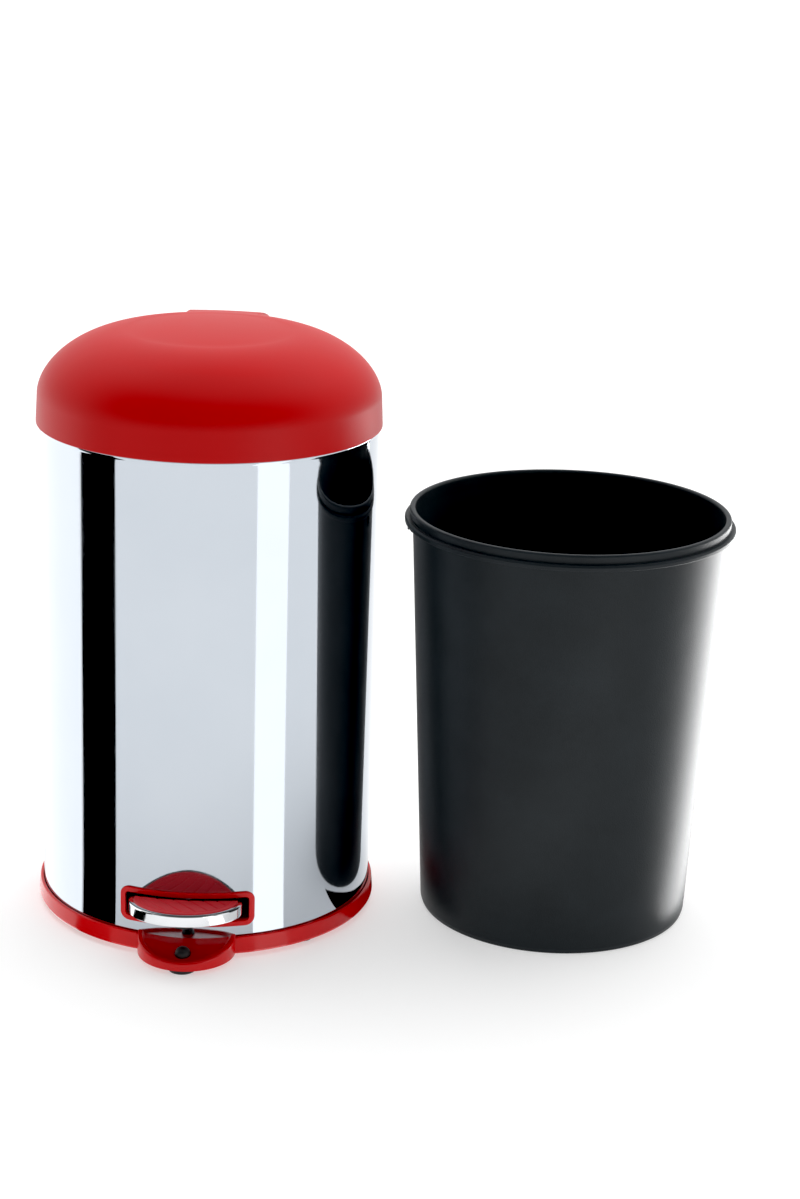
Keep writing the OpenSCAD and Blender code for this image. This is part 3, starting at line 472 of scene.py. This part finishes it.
arc = np.linspace(-1, 1, 61) * math.pi / 2
arc_x = plate_r * np.sin(arc)
plate_low, neck_top = plate_top - plate_t, plate_top - 0.01
plate = slab(np.stack([arc_x, plate_y - plate_r * np.cos(arc)], -1), np.stack([arc_x, behind(arc_x, plate_top)], -1),
             plate_low, plate_top)
neck = slab(level_line(neck_half, plate_y - 6), level_line(neck_half, plate_y + 10), plate_low, neck_top)
taper = slab(level_line(neck_half, plate_y + 9.5), level_line(neck_tip_half, plate_y + 40), plate_low, neck_top)
chrome_plate = even_normals(solid(
    "pedal_pressing", skin(capped(band), wrap=False, loop=True),
    *[skin(capped(at_pedal(g)), wrap=False, loop=True) for g in (plate, neck, taper)]))

# Bright chrome on pressed steel: a near mirror with the faint waviness of the pressing
# under it and soft rub marks where shoes touch.
chrome, tree, out = new_material("bright chrome plate")
where = add(tree, "ShaderNodeTexCoord").outputs["Object"]
wave = add(tree, "ShaderNodeTexNoise", {"Vector": where, "Scale": 70.0, "Detail": 1.0})
rub = add(tree, "ShaderNodeMapping", {"Vector": where, "Scale": (220, 220, 900)})
rubbed = add(tree, "ShaderNodeTexNoise", {"Vector": rub.outputs[0], "Scale": 1.0, "Detail": 4.0})
gloss = add(tree, "ShaderNodeMapRange", {"Value": rubbed.outputs[0], "From Min": 0.35, "From Max": 0.75,
                                         "To Min": 0.04, "To Max": 0.16})
tone = add(tree, "ShaderNodeValToRGB", {"Fac": wave.outputs[0]})
tone.color_ramp.elements[0].color = linear("#DADDE0")
tone.color_ramp.elements[1].color = linear("#ECEEF0")
dent = add(tree, "ShaderNodeBump", {"Height": wave.outputs[0], "Strength": 0.1, "Distance": 0.0006})
shader = add(tree, "ShaderNodeBsdfPrincipled", {"Base Color": tone.outputs[0], "Metallic": 1.0,
                                                "Roughness": gloss.outputs[0], "Normal": dent.outputs[0]})
tree.links.new(shader.outputs[0], out.inputs["Surface"])
chrome_plate.data.materials.append(chrome)
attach(chrome_plate, "pedal")
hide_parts("pedal_plate")


# PEDAL PAD
# A soft red moulded pad that fills the half-round inside the chrome band, with a raised
# border and slanting grip grooves.
pad_r = pedal_r - 3.6
pad_high = plate_top + 2.4
pad_turn = 94
pad_soft, pad_border, groove_pitch, groove_slant = 0.9, 4.6, 9, 35
u = np.linspace(-1, 1, 241)[None, :]
rim_x = pad_r * np.sin(u * math.radians(pad_turn))
rim_y = plate_y - pad_r * np.cos(u * math.radians(pad_turn))
root_y = np.maximum(behind(rim_x, pad_high) - 0.2, rim_y)
share = np.concatenate([[0, 0.004, 0.01], np.linspace(0.03, 0.93, 70), np.linspace(0.94, 1, 14)])[:, None]
x = rim_x + 0 * share
y = rim_y * share + root_y * (1 - share)
from_rim = pad_r - np.hypot(x, y - plate_y)
from_edge = np.minimum(from_rim, (root_y - y) + 0.001)
over = np.clip((pad_soft - from_edge) / pad_soft, 0, 1)
border_line = np.clip(1 - np.abs(from_rim - pad_border) / 0.55, 0, 1)
slant = math.radians(groove_slant)
along = (x * math.cos(slant) + (y - plate_y) * math.sin(slant)) / groove_pitch
groove = np.clip(1 - np.abs(along - np.round(along)) * groove_pitch / 0.75, 0, 1)
groove *= np.clip((from_rim - 5.5) / 0.8, 0, 1)
z = pad_high - pad_soft * (1 - np.sqrt(1 - over ** 2)) - 0.35 * border_line - 0.75 * np.sqrt(groove)
pad_low = plate_top - 0.1 + 0 * rim_x
grid = np.concatenate([np.stack([x, y, z], -1), np.stack([rim_x, rim_y, pad_low], -1),
                       np.stack([rim_x, root_y, pad_low], -1)])
pad = solid("grip_pad", skin(capped(at_pedal(grid)), wrap=False, loop=True), crease=70)

# Soft moulded elastomer in a lighter red: matt, with a slight dusty sheen and a fine grain.
pad_red, tree, out = new_material("soft moulded red elastomer")
where = add(tree, "ShaderNodeTexCoord").outputs["Object"]
grain = add(tree, "ShaderNodeTexNoise", {"Vector": where, "Scale": 900.0, "Detail": 3.0})
drift = add(tree, "ShaderNodeTexNoise", {"Vector": where, "Scale": 60.0, "Detail": 3.0})
tone = add(tree, "ShaderNodeValToRGB", {"Fac": drift.outputs[0]})
tone.color_ramp.elements[0].color = linear("#CC1220")
tone.color_ramp.elements[1].color = linear("#DC2030")
dent = add(tree, "ShaderNodeBump", {"Height": grain.outputs[0], "Strength": 0.15, "Distance": 0.0002})
gloss = add(tree, "ShaderNodeMapRange", {"Value": drift.outputs[0], "To Min": 0.4, "To Max": 0.55})
shader = add(tree, "ShaderNodeBsdfPrincipled", {"Base Color": tone.outputs[0], "Roughness": gloss.outputs[0],
                                                "Normal": dent.outputs[0], "Sheen Weight": 0.1, "IOR": 1.5})
tree.links.new(shader.outputs[0], out.inputs["Surface"])
pad.data.materials.append(pad_red)
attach(pad, "pedal")
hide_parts("pedal_pad")


# LEVER, BRACKETS AND FASTENERS
# Pressed and turned steel parts of the linkage, bright zinc plated: a bluish grey metal
# with a soft, slightly mottled gloss.
zinc, tree, out = new_material("bright zinc plate on pressed steel")
where = add(tree, "ShaderNodeTexCoord").outputs["Object"]
spangle = add(tree, "ShaderNodeTexVoronoi", {"Vector": where, "Scale": 420.0})
cloud = add(tree, "ShaderNodeTexNoise", {"Vector": where, "Scale": 120.0, "Detail": 4.0})
mottle = add(tree, "ShaderNodeMath", {0: spangle.outputs[0], 1: cloud.outputs[0]}, operation="ADD")
tone = add(tree, "ShaderNodeValToRGB", {"Fac": mottle.outputs[0]})
tone.color_ramp.elements[0].color = linear("#9CA3A8")
tone.color_ramp.elements[1].color = linear("#C3C8CC")
gloss = add(tree, "ShaderNodeMapRange", {"Value": mottle.outputs[0], "To Min": 0.24, "To Max": 0.42})
dent = add(tree, "ShaderNodeBump", {"Height": cloud.outputs[0], "Strength": 0.08, "Distance": 0.0003})
shader = add(tree, "ShaderNodeBsdfPrincipled", {"Base Color": tone.outputs[0], "Metallic": 1.0,
                                                "Roughness": gloss.outputs[0], "Normal": dent.outputs[0]})
tree.links.new(shader.outputs[0], out.inputs["Surface"])


def repaint(cad, material):
    """Gives a CAD node that stays as it is the material in every slot."""
    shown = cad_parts[cad]
    if not shown.material_slots:
        shown.data.materials.append(material)
    for held in shown.material_slots:
        held.material = material


def softened(name, cad, width, material):
    """A copy of a CAD node's mesh with its loose triangles merged, flats dissolved and sharp edges rounded by width
    millimetres, as a press or a mould leaves them."""
    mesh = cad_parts[cad].data.copy()
    mesh.name = name
    mesh.materials.clear()
    mesh.materials.append(material)
    shape = bmesh.new()
    shape.from_mesh(mesh)
    bmesh.ops.remove_doubles(shape, verts=shape.verts, dist=1e-6)
    bmesh.ops.dissolve_limit(shape, angle_limit=math.radians(1), verts=shape.verts, edges=shape.edges)
    shape.to_mesh(mesh)
    shape.free()
    mesh.shade_smooth()
    mesh.set_sharp_from_angle(angle=math.radians(32))
    made = bpy.data.objects.new(name, mesh)
    bpy.context.collection.objects.link(made)
    round_edges = made.modifiers.new("rounded edges", "BEVEL")
    round_edges.width = width / 1000
    round_edges.segments = 2
    round_edges.limit_method = "ANGLE"
    round_edges.angle_limit = math.radians(40)
    round_edges.harden_normals = False
    return even_normals(made)


for cad in ("bracket_screws", "shell_rivets", "pivot_pin", "pivot_clip", "cover_screws", "hinge_screws", "lever_rivets",
            "lift_rod", "rod_collar", "lever_screws", "link_rivet", "hinge_pin"):
    repaint(cad, zinc)
for name, cad, body in (("pivot_cradle", "pivot_bracket", "bin"), ("lever_strap", "pedal_lever", "pedal"),
                        ("lid_arm", "lid_lever", "lid")):
    piece = softened(name, cad, 0.35, zinc)
    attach(piece, body)
    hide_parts(cad)


# REAR CHANNEL AND HINGE BRACKET
# Satin black moulded parts behind the steel: the channel that hides the lift rod and the
# forked bracket that carries the hinge pin.
for name, cad in (("rod_channel", "rod_cover"), ("hinge_fork", "hinge_bracket")):
    piece = softened(name, cad, 0.6, black_plastic)
    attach(piece, "bin")
    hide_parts(cad)


# NYLON GUIDES AND SPACERS, RUBBER STOPS
# Natural nylon, moulded: milky white and waxy. The stops are the same rubber as the feet.
nylon, tree, out = new_material("moulded natural nylon")
where = add(tree, "ShaderNodeTexCoord").outputs["Object"]
drift = add(tree, "ShaderNodeTexNoise", {"Vector": where, "Scale": 90.0, "Detail": 2.0})
tone = add(tree, "ShaderNodeValToRGB", {"Fac": drift.outputs[0]})
tone.color_ramp.elements[0].color = linear("#DAD8CE")
tone.color_ramp.elements[1].color = linear("#ECEBE4")
gloss = add(tree, "ShaderNodeMapRange", {"Value": drift.outputs[0], "To Min": 0.35, "To Max": 0.5})
shader = add(tree, "ShaderNodeBsdfPrincipled", {"Base Color": tone.outputs[0], "Roughness": gloss.outputs[0],
                                                "IOR": 1.53})
tree.links.new(shader.outputs[0], out.inputs["Surface"])
for cad, material in (("rod_guides", nylon), ("hinge_spacers", nylon), ("pedal_stop", rubber), ("lid_buffers", rubber)):
    repaint(cad, material)


# LID
# One moulding in satin red: a domed cap 1.8 mm thick whose top runs back into a raised cover
# over the hinge, hollow underneath, with rounded cheeks that hold the hinge pin.
lid_low_corner, lid_high_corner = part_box("lid_dome")
dome_top = 1000 * lid_high_corner.z
lid_low = body_top - 1.5
skirt_r = 500 * (lid_high_corner.x - lid_low_corner.x)
lid_wall = 1.8
shoulder_r = skirt_r - 1
shoulder_z = lid_low + 0.29 * (dome_top - lid_low)
crown_r = 0.47 * shoulder_r
crown_drop = 3.0
cover_half, cover_back = 28.0, 1000 * (lid_high_corner.y - bin_axis[1])
cover_wall, cover_back_wall, cover_roof = 3.0, 1.35, 2.4
hinge_y, hinge_z = 149.284, 370.0
cheek_r = 8.4
cheek_front, cheek_blend = 134, 7
hollow_half, hollow_front, hollow_step = 24.6, 131, 32


def dome_line(inset, rows):
    """The dome's outline (radius, height) from its foot to the top: a drafted skirt, a superellipse shoulder whose
    cosine and sine are raised to 1.11, and a parabola for the crown. Inset moves it inwards by the wall."""
    t = np.radians(np.linspace(0, 90, rows))
    skirt_z = np.linspace(lid_low + 0.9, shoulder_z, 8)[:-1]
    skirt_x = np.interp(skirt_z, [lid_low, shoulder_z], [skirt_r, shoulder_r]) - inset
    bulge = crown_r + (shoulder_r - inset - crown_r) * np.cos(t) ** 1.11
    rise = shoulder_z + (dome_top - crown_drop - inset - shoulder_z) * np.sin(t) ** 1.11
    q = np.linspace(1, 0, 11)[1:]
    return np.concatenate([np.stack([skirt_x, skirt_z], -1), np.stack([bulge, rise], -1),
                           np.stack([crown_r * q, dome_top - inset - crown_drop * q * q], -1)])


def soft_min(a, b, k):
    """The smaller of two numbers, with a quadratic blend where they are within k of each other."""
    return np.minimum(a, b) - np.clip(k - np.abs(a - b), 0, None) ** 2 / (4 * k)


def cover_reach(x, y, z, side, back, top):
    """How many times farther than a dome point the hinge cover lies, seen from the middle of the lid's foot. Planes
    bound its two sides and its back, a parabola its top, and the smallest of them rules, with soft corners."""
    near = np.where(y > 1, y, 1.0)
    sides = side / np.maximum(np.abs(x), 0.01)
    behind_it = back / near
    lean_y, lean_z, roof_fall = 0.905, 0.426, 9.4e-4
    low_back = (back * lean_y - 4 * lean_z) / np.maximum(lean_y * near - lean_z * z, 1)
    over = 2 * top / (z + np.sqrt(z ** 2 + 4 * roof_fall * near ** 2 * top))
    reach = soft_min(soft_min(soft_min(behind_it, low_back, 0.03), over, 0.09), sides, 0.05)
    fade = np.clip((y - 40) / 50, 0, 1)
    return np.where(y > 1, reach - 0.25 * (1 - fade * fade * (3 - 2 * fade)), 0)


apart = np.concatenate([np.linspace(0, 8.4, 13), np.linspace(8.5, 13.8, 48), np.linspace(14.2, 24, 22),
                        np.linspace(25.2, 180, 128)])
around = np.radians(90 + np.concatenate([apart, -apart[-2:0:-1]]))[None, :]
line = dome_line(0, 50)
radius, level = line[:, 0][:, None], line[:, 1][:, None] - lid_low
x, y, z = radius * np.cos(around), radius * np.sin(around), level + 0 * around
reach = cover_reach(x, y, z, cover_half, cover_back, dome_top - lid_low)
reach = -soft_min(-np.ones_like(reach), -reach, 0.09)
outer = np.stack([x * reach, y * reach, z * reach + lid_low], -1)
rim = outer[0]
cheek = np.sqrt(np.clip(cheek_r ** 2 - (rim[:, 1] - hinge_y) ** 2, 0, None))
out_back = np.clip((rim[:, 1] - cheek_front) / cheek_blend, 0, 1)
to_hinge = (lid_low - hinge_z) * out_back ** 2 * (3 - 2 * out_back)
low = np.where(reach[0] > 1.02, lid_low - to_hinge - cheek * (out_back >= 1), lid_low)
t = np.linspace(1, 0, 5)[1:, None]
hang = np.stack([rim[:, 0] + 0 * t, rim[:, 1] + 0 * t, low + (rim[:, 2] - low) * t], -1)
foot_rim = np.stack([rim[:, 0] * 0.997, rim[:, 1] * 0.997, low - 0.3], -1)[None]
line = dome_line(lid_wall, 34)
radius, level = line[:, 0][:, None], line[:, 1][:, None]
inner = np.stack([radius * np.cos(around), radius * np.sin(around), level + 0 * around], -1)
inner_rim = inner[:1] * [1, 1, 0] + [0, 0, lid_low]
outer[-1], inner[-1] = outer[-1].mean(0), inner[-1].mean(0)
shell = np.concatenate([outer[::-1], hang, foot_rim, inner_rim, inner])
lid = solid("domed_lid", skin(shell), crease=50)


def carve(piece, *tools):
    """Cuts the tools' closed meshes out of a piece for good and removes them."""
    for tool in tools:
        cut = piece.modifiers.new("cut", "BOOLEAN")
        cut.operation = "DIFFERENCE"
        cut.solver = "EXACT"
        cut.object = tool
    ready = bpy.data.meshes.new_from_object(piece.evaluated_get(bpy.context.evaluated_depsgraph_get()))
    piece.modifiers.clear()
    piece.data = ready
    for tool in tools:
        bpy.data.objects.remove(tool)


# the hollow under the cover: its front follows the dome, its back, sides and roof the cover's own skin
u = np.linspace(-1, 1, 33)[None, :]
line = dome_line(0, 30)
line = line[line[:, 0] > 96]
radius, level = line[:, 0][:, None], line[:, 1][:, None] - lid_low
x = hollow_half * u + 0 * radius
y = np.sqrt(radius ** 2 - x ** 2)
z = level + 0 * x
far = cover_reach(x, y, z, cover_half - cover_wall, cover_back - cover_back_wall, dome_top - lid_low - cover_roof)
far = np.maximum(far, 1.012)
near = np.minimum(np.where(z < hollow_step, np.maximum(1.001, hollow_front / y), 1.001), far - 0.008)
front = np.stack([x * near, y * near, z * near + lid_low], -1)
rear = np.stack([x * far, y * far, z * far + lid_low], -1)
below_foot = [0, 0, -30]
sleeve = np.concatenate([front[:1] + below_foot, front, rear[::-1], rear[:1] + below_foot])
hollow = solid("hollow", skin(capped(sleeve), wrap=False, loop=True))
carve(lid, hollow)
lid.data.shade_smooth()
lid.data.set_sharp_from_angle(angle=math.radians(45))

# Satin moulded ABS in red: a fine even grain spreads the light, so the crown looks pale where
# it faces the bright backdrop and the shoulder stays deep red.
red_satin, tree, out = new_material("satin moulded red plastic")
where = add(tree, "ShaderNodeTexCoord").outputs["Object"]
grain = add(tree, "ShaderNodeTexNoise", {"Vector": where, "Scale": 1100.0, "Detail": 3.0})
drift = add(tree, "ShaderNodeTexNoise", {"Vector": where, "Scale": 16.0, "Detail": 3.0})
tone = add(tree, "ShaderNodeValToRGB", {"Fac": drift.outputs[0]})
tone.color_ramp.elements[0].color = linear("#B60002")
tone.color_ramp.elements[1].color = linear("#C00004")
dent = add(tree, "ShaderNodeBump", {"Height": grain.outputs[0], "Strength": 0.12, "Distance": 0.0002})
gloss = add(tree, "ShaderNodeMapRange", {"Value": drift.outputs[0], "To Min": 0.38, "To Max": 0.46})
shader = add(tree, "ShaderNodeBsdfPrincipled", {"Base Color": tone.outputs[0], "Roughness": gloss.outputs[0],
                                                "Normal": dent.outputs[0], "IOR": 1.5, "Specular IOR Level": 0.17})
tree.links.new(shader.outputs[0], out.inputs["Surface"])
lid.data.materials.append(red_satin)
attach(lid, "lid")
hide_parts("lid_dome")


# INNER BUCKET
# Moulded charcoal polypropylene: a tapered wall 2 mm thick, a flat flange round the top with
# a rounded inner rim above it, a foot ring, and two eyes for the bail.
bucket_low, bucket_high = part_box("bucket")
bucket_axis = np.array([(bucket_low.x + bucket_high.x) / 2, (bucket_low.y + bucket_high.y) / 2, 0])
rim_r = 500 * (bucket_high.y - bucket_low.y)
bucket_h = 1000 * bucket_high.z
low_r = rim_r - 21
top_r = rim_r - 6
bucket_wall = 2
step = bucket_h - 7
outline = eased([(0, 2.5, 0), (low_r - 7, 2.5, 0.6), (low_r - 5.6, 0, 0.8), (low_r - 1.2, 0, 2.2),
                 (low_r, 4, 2), (top_r, step - 4, 1.2), (rim_r - 0.2, step - 4, 0.9), (rim_r, step - 1.0, 1.1),
                 (rim_r - 1.2, step + 0.2, 0.8), (top_r + 2.2, step + 0.2, 0.35), (top_r + 2.4, step + 2.2, 1.0),
                 (top_r + 2.5, bucket_h, 2.4), (top_r - 1.9, bucket_h, 2.2), (top_r - bucket_wall, step - 4, 3),
                 (low_r - bucket_wall, 5, 3), (0, 5, 0)], closed=False, steps=7)
wall = skin(turned(outline, 300))
eye_z = bucket_h - 18
eye_rows = eased([(1.72, -4.0, 0.3), (4.1, -4.0, 0.9), (4.3, 2.2, 0.9), (1.72, 2.2, 0.5)])


def eye(side):
    """A round boss through the wall, turned about its own axis across the bucket."""
    angle = np.linspace(0, 2 * np.pi, 48, endpoint=False)
    radius, reach = eye_rows[:, 0][:, None], eye_rows[:, 1][:, None]
    return skin(np.stack([side * (top_r - 1 + reach) + 0 * angle, radius * np.cos(angle),
                          eye_z + radius * np.sin(angle)], -1), loop=True)


bucket = even_normals(solid("inner_bucket", wall, eye(1), eye(-1), about=bucket_axis))

# Polypropylene from a textured tool: dark charcoal with a blue cast, satin, and a fine
# leathery grain drawn at about a millimetre so that it shows.
charcoal, tree, out = new_material("grained charcoal polypropylene")
where = add(tree, "ShaderNodeTexCoord").outputs["Object"]
grain = add(tree, "ShaderNodeTexNoise", {"Vector": where, "Scale": 850.0, "Detail": 4.0, "Roughness": 0.65})
drift = add(tree, "ShaderNodeTexNoise", {"Vector": where, "Scale": 26.0, "Detail": 3.0})
tone = add(tree, "ShaderNodeValToRGB", {"Fac": drift.outputs[0]})
tone.color_ramp.elements[0].color = linear("#181D20")
tone.color_ramp.elements[1].color = linear("#252B2F")
dent = add(tree, "ShaderNodeBump", {"Height": grain.outputs[0], "Strength": 0.35, "Distance": 0.0003})
gloss = add(tree, "ShaderNodeMapRange", {"Value": grain.outputs[0], "To Min": 0.34, "To Max": 0.5})
shader = add(tree, "ShaderNodeBsdfPrincipled", {"Base Color": tone.outputs[0], "Roughness": gloss.outputs[0],
                                                "Normal": dent.outputs[0], "IOR": 1.49, "Specular IOR Level": 0.2})
tree.links.new(shader.outputs[0], out.inputs["Surface"])
bucket.data.materials.append(charcoal)
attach(bucket, "bucket")
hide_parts("bucket")


# BAIL
# A bail of 3.2 mm steel wire, bent and black coated, that hangs inside the bucket. Its ends
# pass out through the eyes and are upset into small heads.
bail_arc = top_r - 13
bail_end = top_r + 2.5
wire_r = 1.6
bend = 5.0
t = np.linspace(0, 1, 10)[:, None]
low_angle = np.linspace(bend / bail_arc, math.pi - bend / bail_arc, 140)[:, None]
drop = np.hstack([bail_arc * np.cos(low_angle), -bail_arc * np.sin(low_angle)])
start = np.array([[bail_end, 0.0]]), np.array([[bail_arc + bend, 0.0]])
corner = np.array([[bail_arc, 0.0]])
bend_in = (1 - t) ** 2 * start[1] + 2 * t * (1 - t) * corner + t ** 2 * drop[:1]
path = np.vstack([start[0], bend_in, drop[1:-1], bend_in[::-1] * [-1, 1], -start[0] * [1, 0]])
run = np.gradient(path, axis=0)
run /= np.linalg.norm(run, axis=1)[:, None]
around_wire = np.linspace(0, 2 * np.pi, 20, endpoint=False)[:, None]
side_way = np.stack([-run[:, 1], run[:, 0]], -1)
grid = np.stack([path[:, 0] + wire_r * np.cos(around_wire) * side_way[:, 0],
                 wire_r * np.sin(around_wire) + 0 * path[:, 0],
                 eye_z + path[:, 1] + wire_r * np.cos(around_wire) * side_way[:, 1]], -1)
head_r, head_t = 2.5, 1.2
head_line = eased([(0, 0, 0), (head_r, 0, 0.4), (head_r, head_t, 0.5), (0, head_t, 0)], closed=False)


def wire_head(side):
    """A flat round head on the wire's end, turned about the wire."""
    angle = np.linspace(0, 2 * np.pi, 32, endpoint=False)
    radius, out_by = head_line[:, 0][:, None], head_line[:, 1][:, None]
    return skin(np.stack([side * (bail_end + out_by) + 0 * angle, radius * np.cos(angle),
                          eye_z + radius * np.sin(angle)], -1))


bail = solid("wire_bail", skin(capped(grid), wrap=False, loop=True), wire_head(1), wire_head(-1), about=bucket_axis)

# Black coated wire: a thin glossy coat with a little unevenness along the wire.
coated_wire, tree, out = new_material("black coated steel wire")
where = add(tree, "ShaderNodeTexCoord").outputs["Object"]
runs = add(tree, "ShaderNodeTexNoise", {"Vector": where, "Scale": 150.0, "Detail": 3.0})
tone = add(tree, "ShaderNodeValToRGB", {"Fac": runs.outputs[0]})
tone.color_ramp.elements[0].color = linear("#141617")
tone.color_ramp.elements[1].color = linear("#24282A")
dent = add(tree, "ShaderNodeBump", {"Height": runs.outputs[0], "Strength": 0.1, "Distance": 0.0004})
gloss = add(tree, "ShaderNodeMapRange", {"Value": runs.outputs[0], "To Min": 0.25, "To Max": 0.4})
shader = add(tree, "ShaderNodeBsdfPrincipled", {"Base Color": tone.outputs[0], "Roughness": gloss.outputs[0],
                                                "Normal": dent.outputs[0], "IOR": 1.5})
tree.links.new(shader.outputs[0], out.inputs["Surface"])
bail.data.materials.append(coated_wire)
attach(bail, "handle")
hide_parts("bucket_handle")


# STUDIO
# A white sweep lit from above through a large soft box. Black and white cards stand on the
# floor beside the bin: only the polished pieces see them, as dark and bright bands.
bpy.context.scene.view_settings.view_transform = "Standard"
bpy.context.scene.view_settings.use_curve_mapping = True
bpy.context.scene.view_settings.curve_mapping.black_level = (0.007, 0.007, 0.007)
floor_mesh = bpy.data.meshes.new("floor")
floor_mesh.from_pydata([(-20, -20, 0), (20, -20, 0), (20, 20, 0), (-20, 20, 0)], [], [(0, 1, 2, 3)])
floor = bpy.data.objects.new("floor", floor_mesh)
bpy.context.collection.objects.link(floor)
paper, tree, out = new_material("white paper sweep")
shader = add(tree, "ShaderNodeBsdfPrincipled", {"Base Color": linear("#C4C4C4"), "Roughness": 0.9,
                                                "Specular IOR Level": 0.0, "Emission Color": (1, 1, 1, 1),
                                                "Emission Strength": 0.5})
tree.links.new(shader.outputs[0], out.inputs["Surface"])
floor.data.materials.append(paper)


def card(name, corners, code, strength):
    """A flat card, given by its corners in millimetres, that only glossy light meets."""
    mesh = bpy.data.meshes.new(name)
    mesh.from_pydata((np.array(corners, float) / 1000).tolist(), [], [tuple(range(len(corners)))])
    made = bpy.data.objects.new(name, mesh)
    bpy.context.collection.objects.link(made)
    material, tree, out = new_material(name)
    glow = add(tree, "ShaderNodeEmission", {"Color": linear(code), "Strength": strength})
    tree.links.new(glow.outputs[0], out.inputs["Surface"])
    made.data.materials.append(material)
    made.visible_camera = made.visible_diffuse = made.visible_shadow = False


def lane(name, axis, radius, near_turn, far_turn, length, height, code, strength):
    """Cards that a round wall about an axis mirrors to a viewer nearly in front, between two turns of its surface in
    degrees: the ray leaves it at twice the turn. One card lies along the ray on the floor, one stands at its end.
    Sight is the viewer's own bearing, to the right of straight ahead."""
    sight = math.radians(6.9)
    turns = sight + np.radians([near_turn, far_turn])
    rays = 2 * turns - sight
    starts = axis + radius * np.stack([np.sin(turns), -np.cos(turns)], -1)
    ends = starts + length * np.stack([np.sin(rays), -np.cos(rays)], -1)
    (a, c), (b, d) = starts, ends
    card(name + " floor", [(*a, 2), (*b, 2), (*d, 2), (*c, 2)], code, strength)
    card(name + " upright", [(*b, 2), (*b, height), (*d, height), (*d, 2)], code, strength)


bin_middle, bucket_middle = 1000 * bin_axis[:2], 1000 * bucket_axis[:2]
lane("black card", bin_middle, body_r, -32.8, -47.8, 1100, 430, "#000000", 0.0)
lane("left white card", bin_middle, body_r, -48.5, -80, 900, 430, "#FFFFFF", 1.65)
lane("white card", bin_middle, body_r, 16.0, 27.3, 1100, 430, "#FFFFFF", 1.8)
lane("bucket flag", bucket_middle, top_r, -56, -84, 240, 420, "#000000", 0.0)
lane("bucket rim light", bucket_middle, top_r, 55, 76, 700, 250, "#FFFFFF", 8.5)

soft_light = bpy.data.objects.new("overhead light", bpy.data.lights.new("overhead light", "SUN"))
bpy.context.collection.objects.link(soft_light)
soft_light.data.energy = 3.0
soft_light.data.angle = math.radians(80)
soft_light.rotation_euler = (math.radians(-20), math.radians(6), 0)
soft_light.visible_glossy = False

world = bpy.data.worlds.new("studio")
bpy.context.scene.world = world
world.use_nodes = True
tree = world.node_tree
tree.nodes.clear()
sky = add(tree, "ShaderNodeTexCoord").outputs["Generated"]
part = add(tree, "ShaderNodeSeparateXYZ", {"Vector": sky})
sideways = add(tree, "ShaderNodeMath", {0: part.outputs["X"]}, operation="ABSOLUTE")
spread = add(tree, "ShaderNodeMath", {0: sideways.outputs[0], 1: 0.75, 2: part.outputs["Y"]},
             operation="MULTIPLY_ADD")
behind_light = add(tree, "ShaderNodeMapRange", {"Value": spread.outputs[0], "From Min": 0.42, "From Max": 0.72},
                   interpolation_type="SMOOTHSTEP")
low_light = add(tree, "ShaderNodeMapRange", {"Value": part.outputs["Z"], "From Min": 0.3, "From Max": 0.12},
                interpolation_type="SMOOTHSTEP")
bright = add(tree, "ShaderNodeMath", {0: behind_light.outputs[0], 1: low_light.outputs[0]}, operation="MAXIMUM")
shade = add(tree, "ShaderNodeMapRange", {"Value": bright.outputs[0], "To Min": 0.1, "To Max": 1.0})
seen = add(tree, "ShaderNodeLightPath")
backdrop = add(tree, "ShaderNodeMath", {0: shade.outputs[0], 1: seen.outputs["Is Camera Ray"]}, operation="MAXIMUM")
back_light = add(tree, "ShaderNodeBackground", {"Color": backdrop.outputs[0], "Strength": 1.0})
add(tree, "ShaderNodeOutputWorld", {"Surface": back_light.outputs[0]})
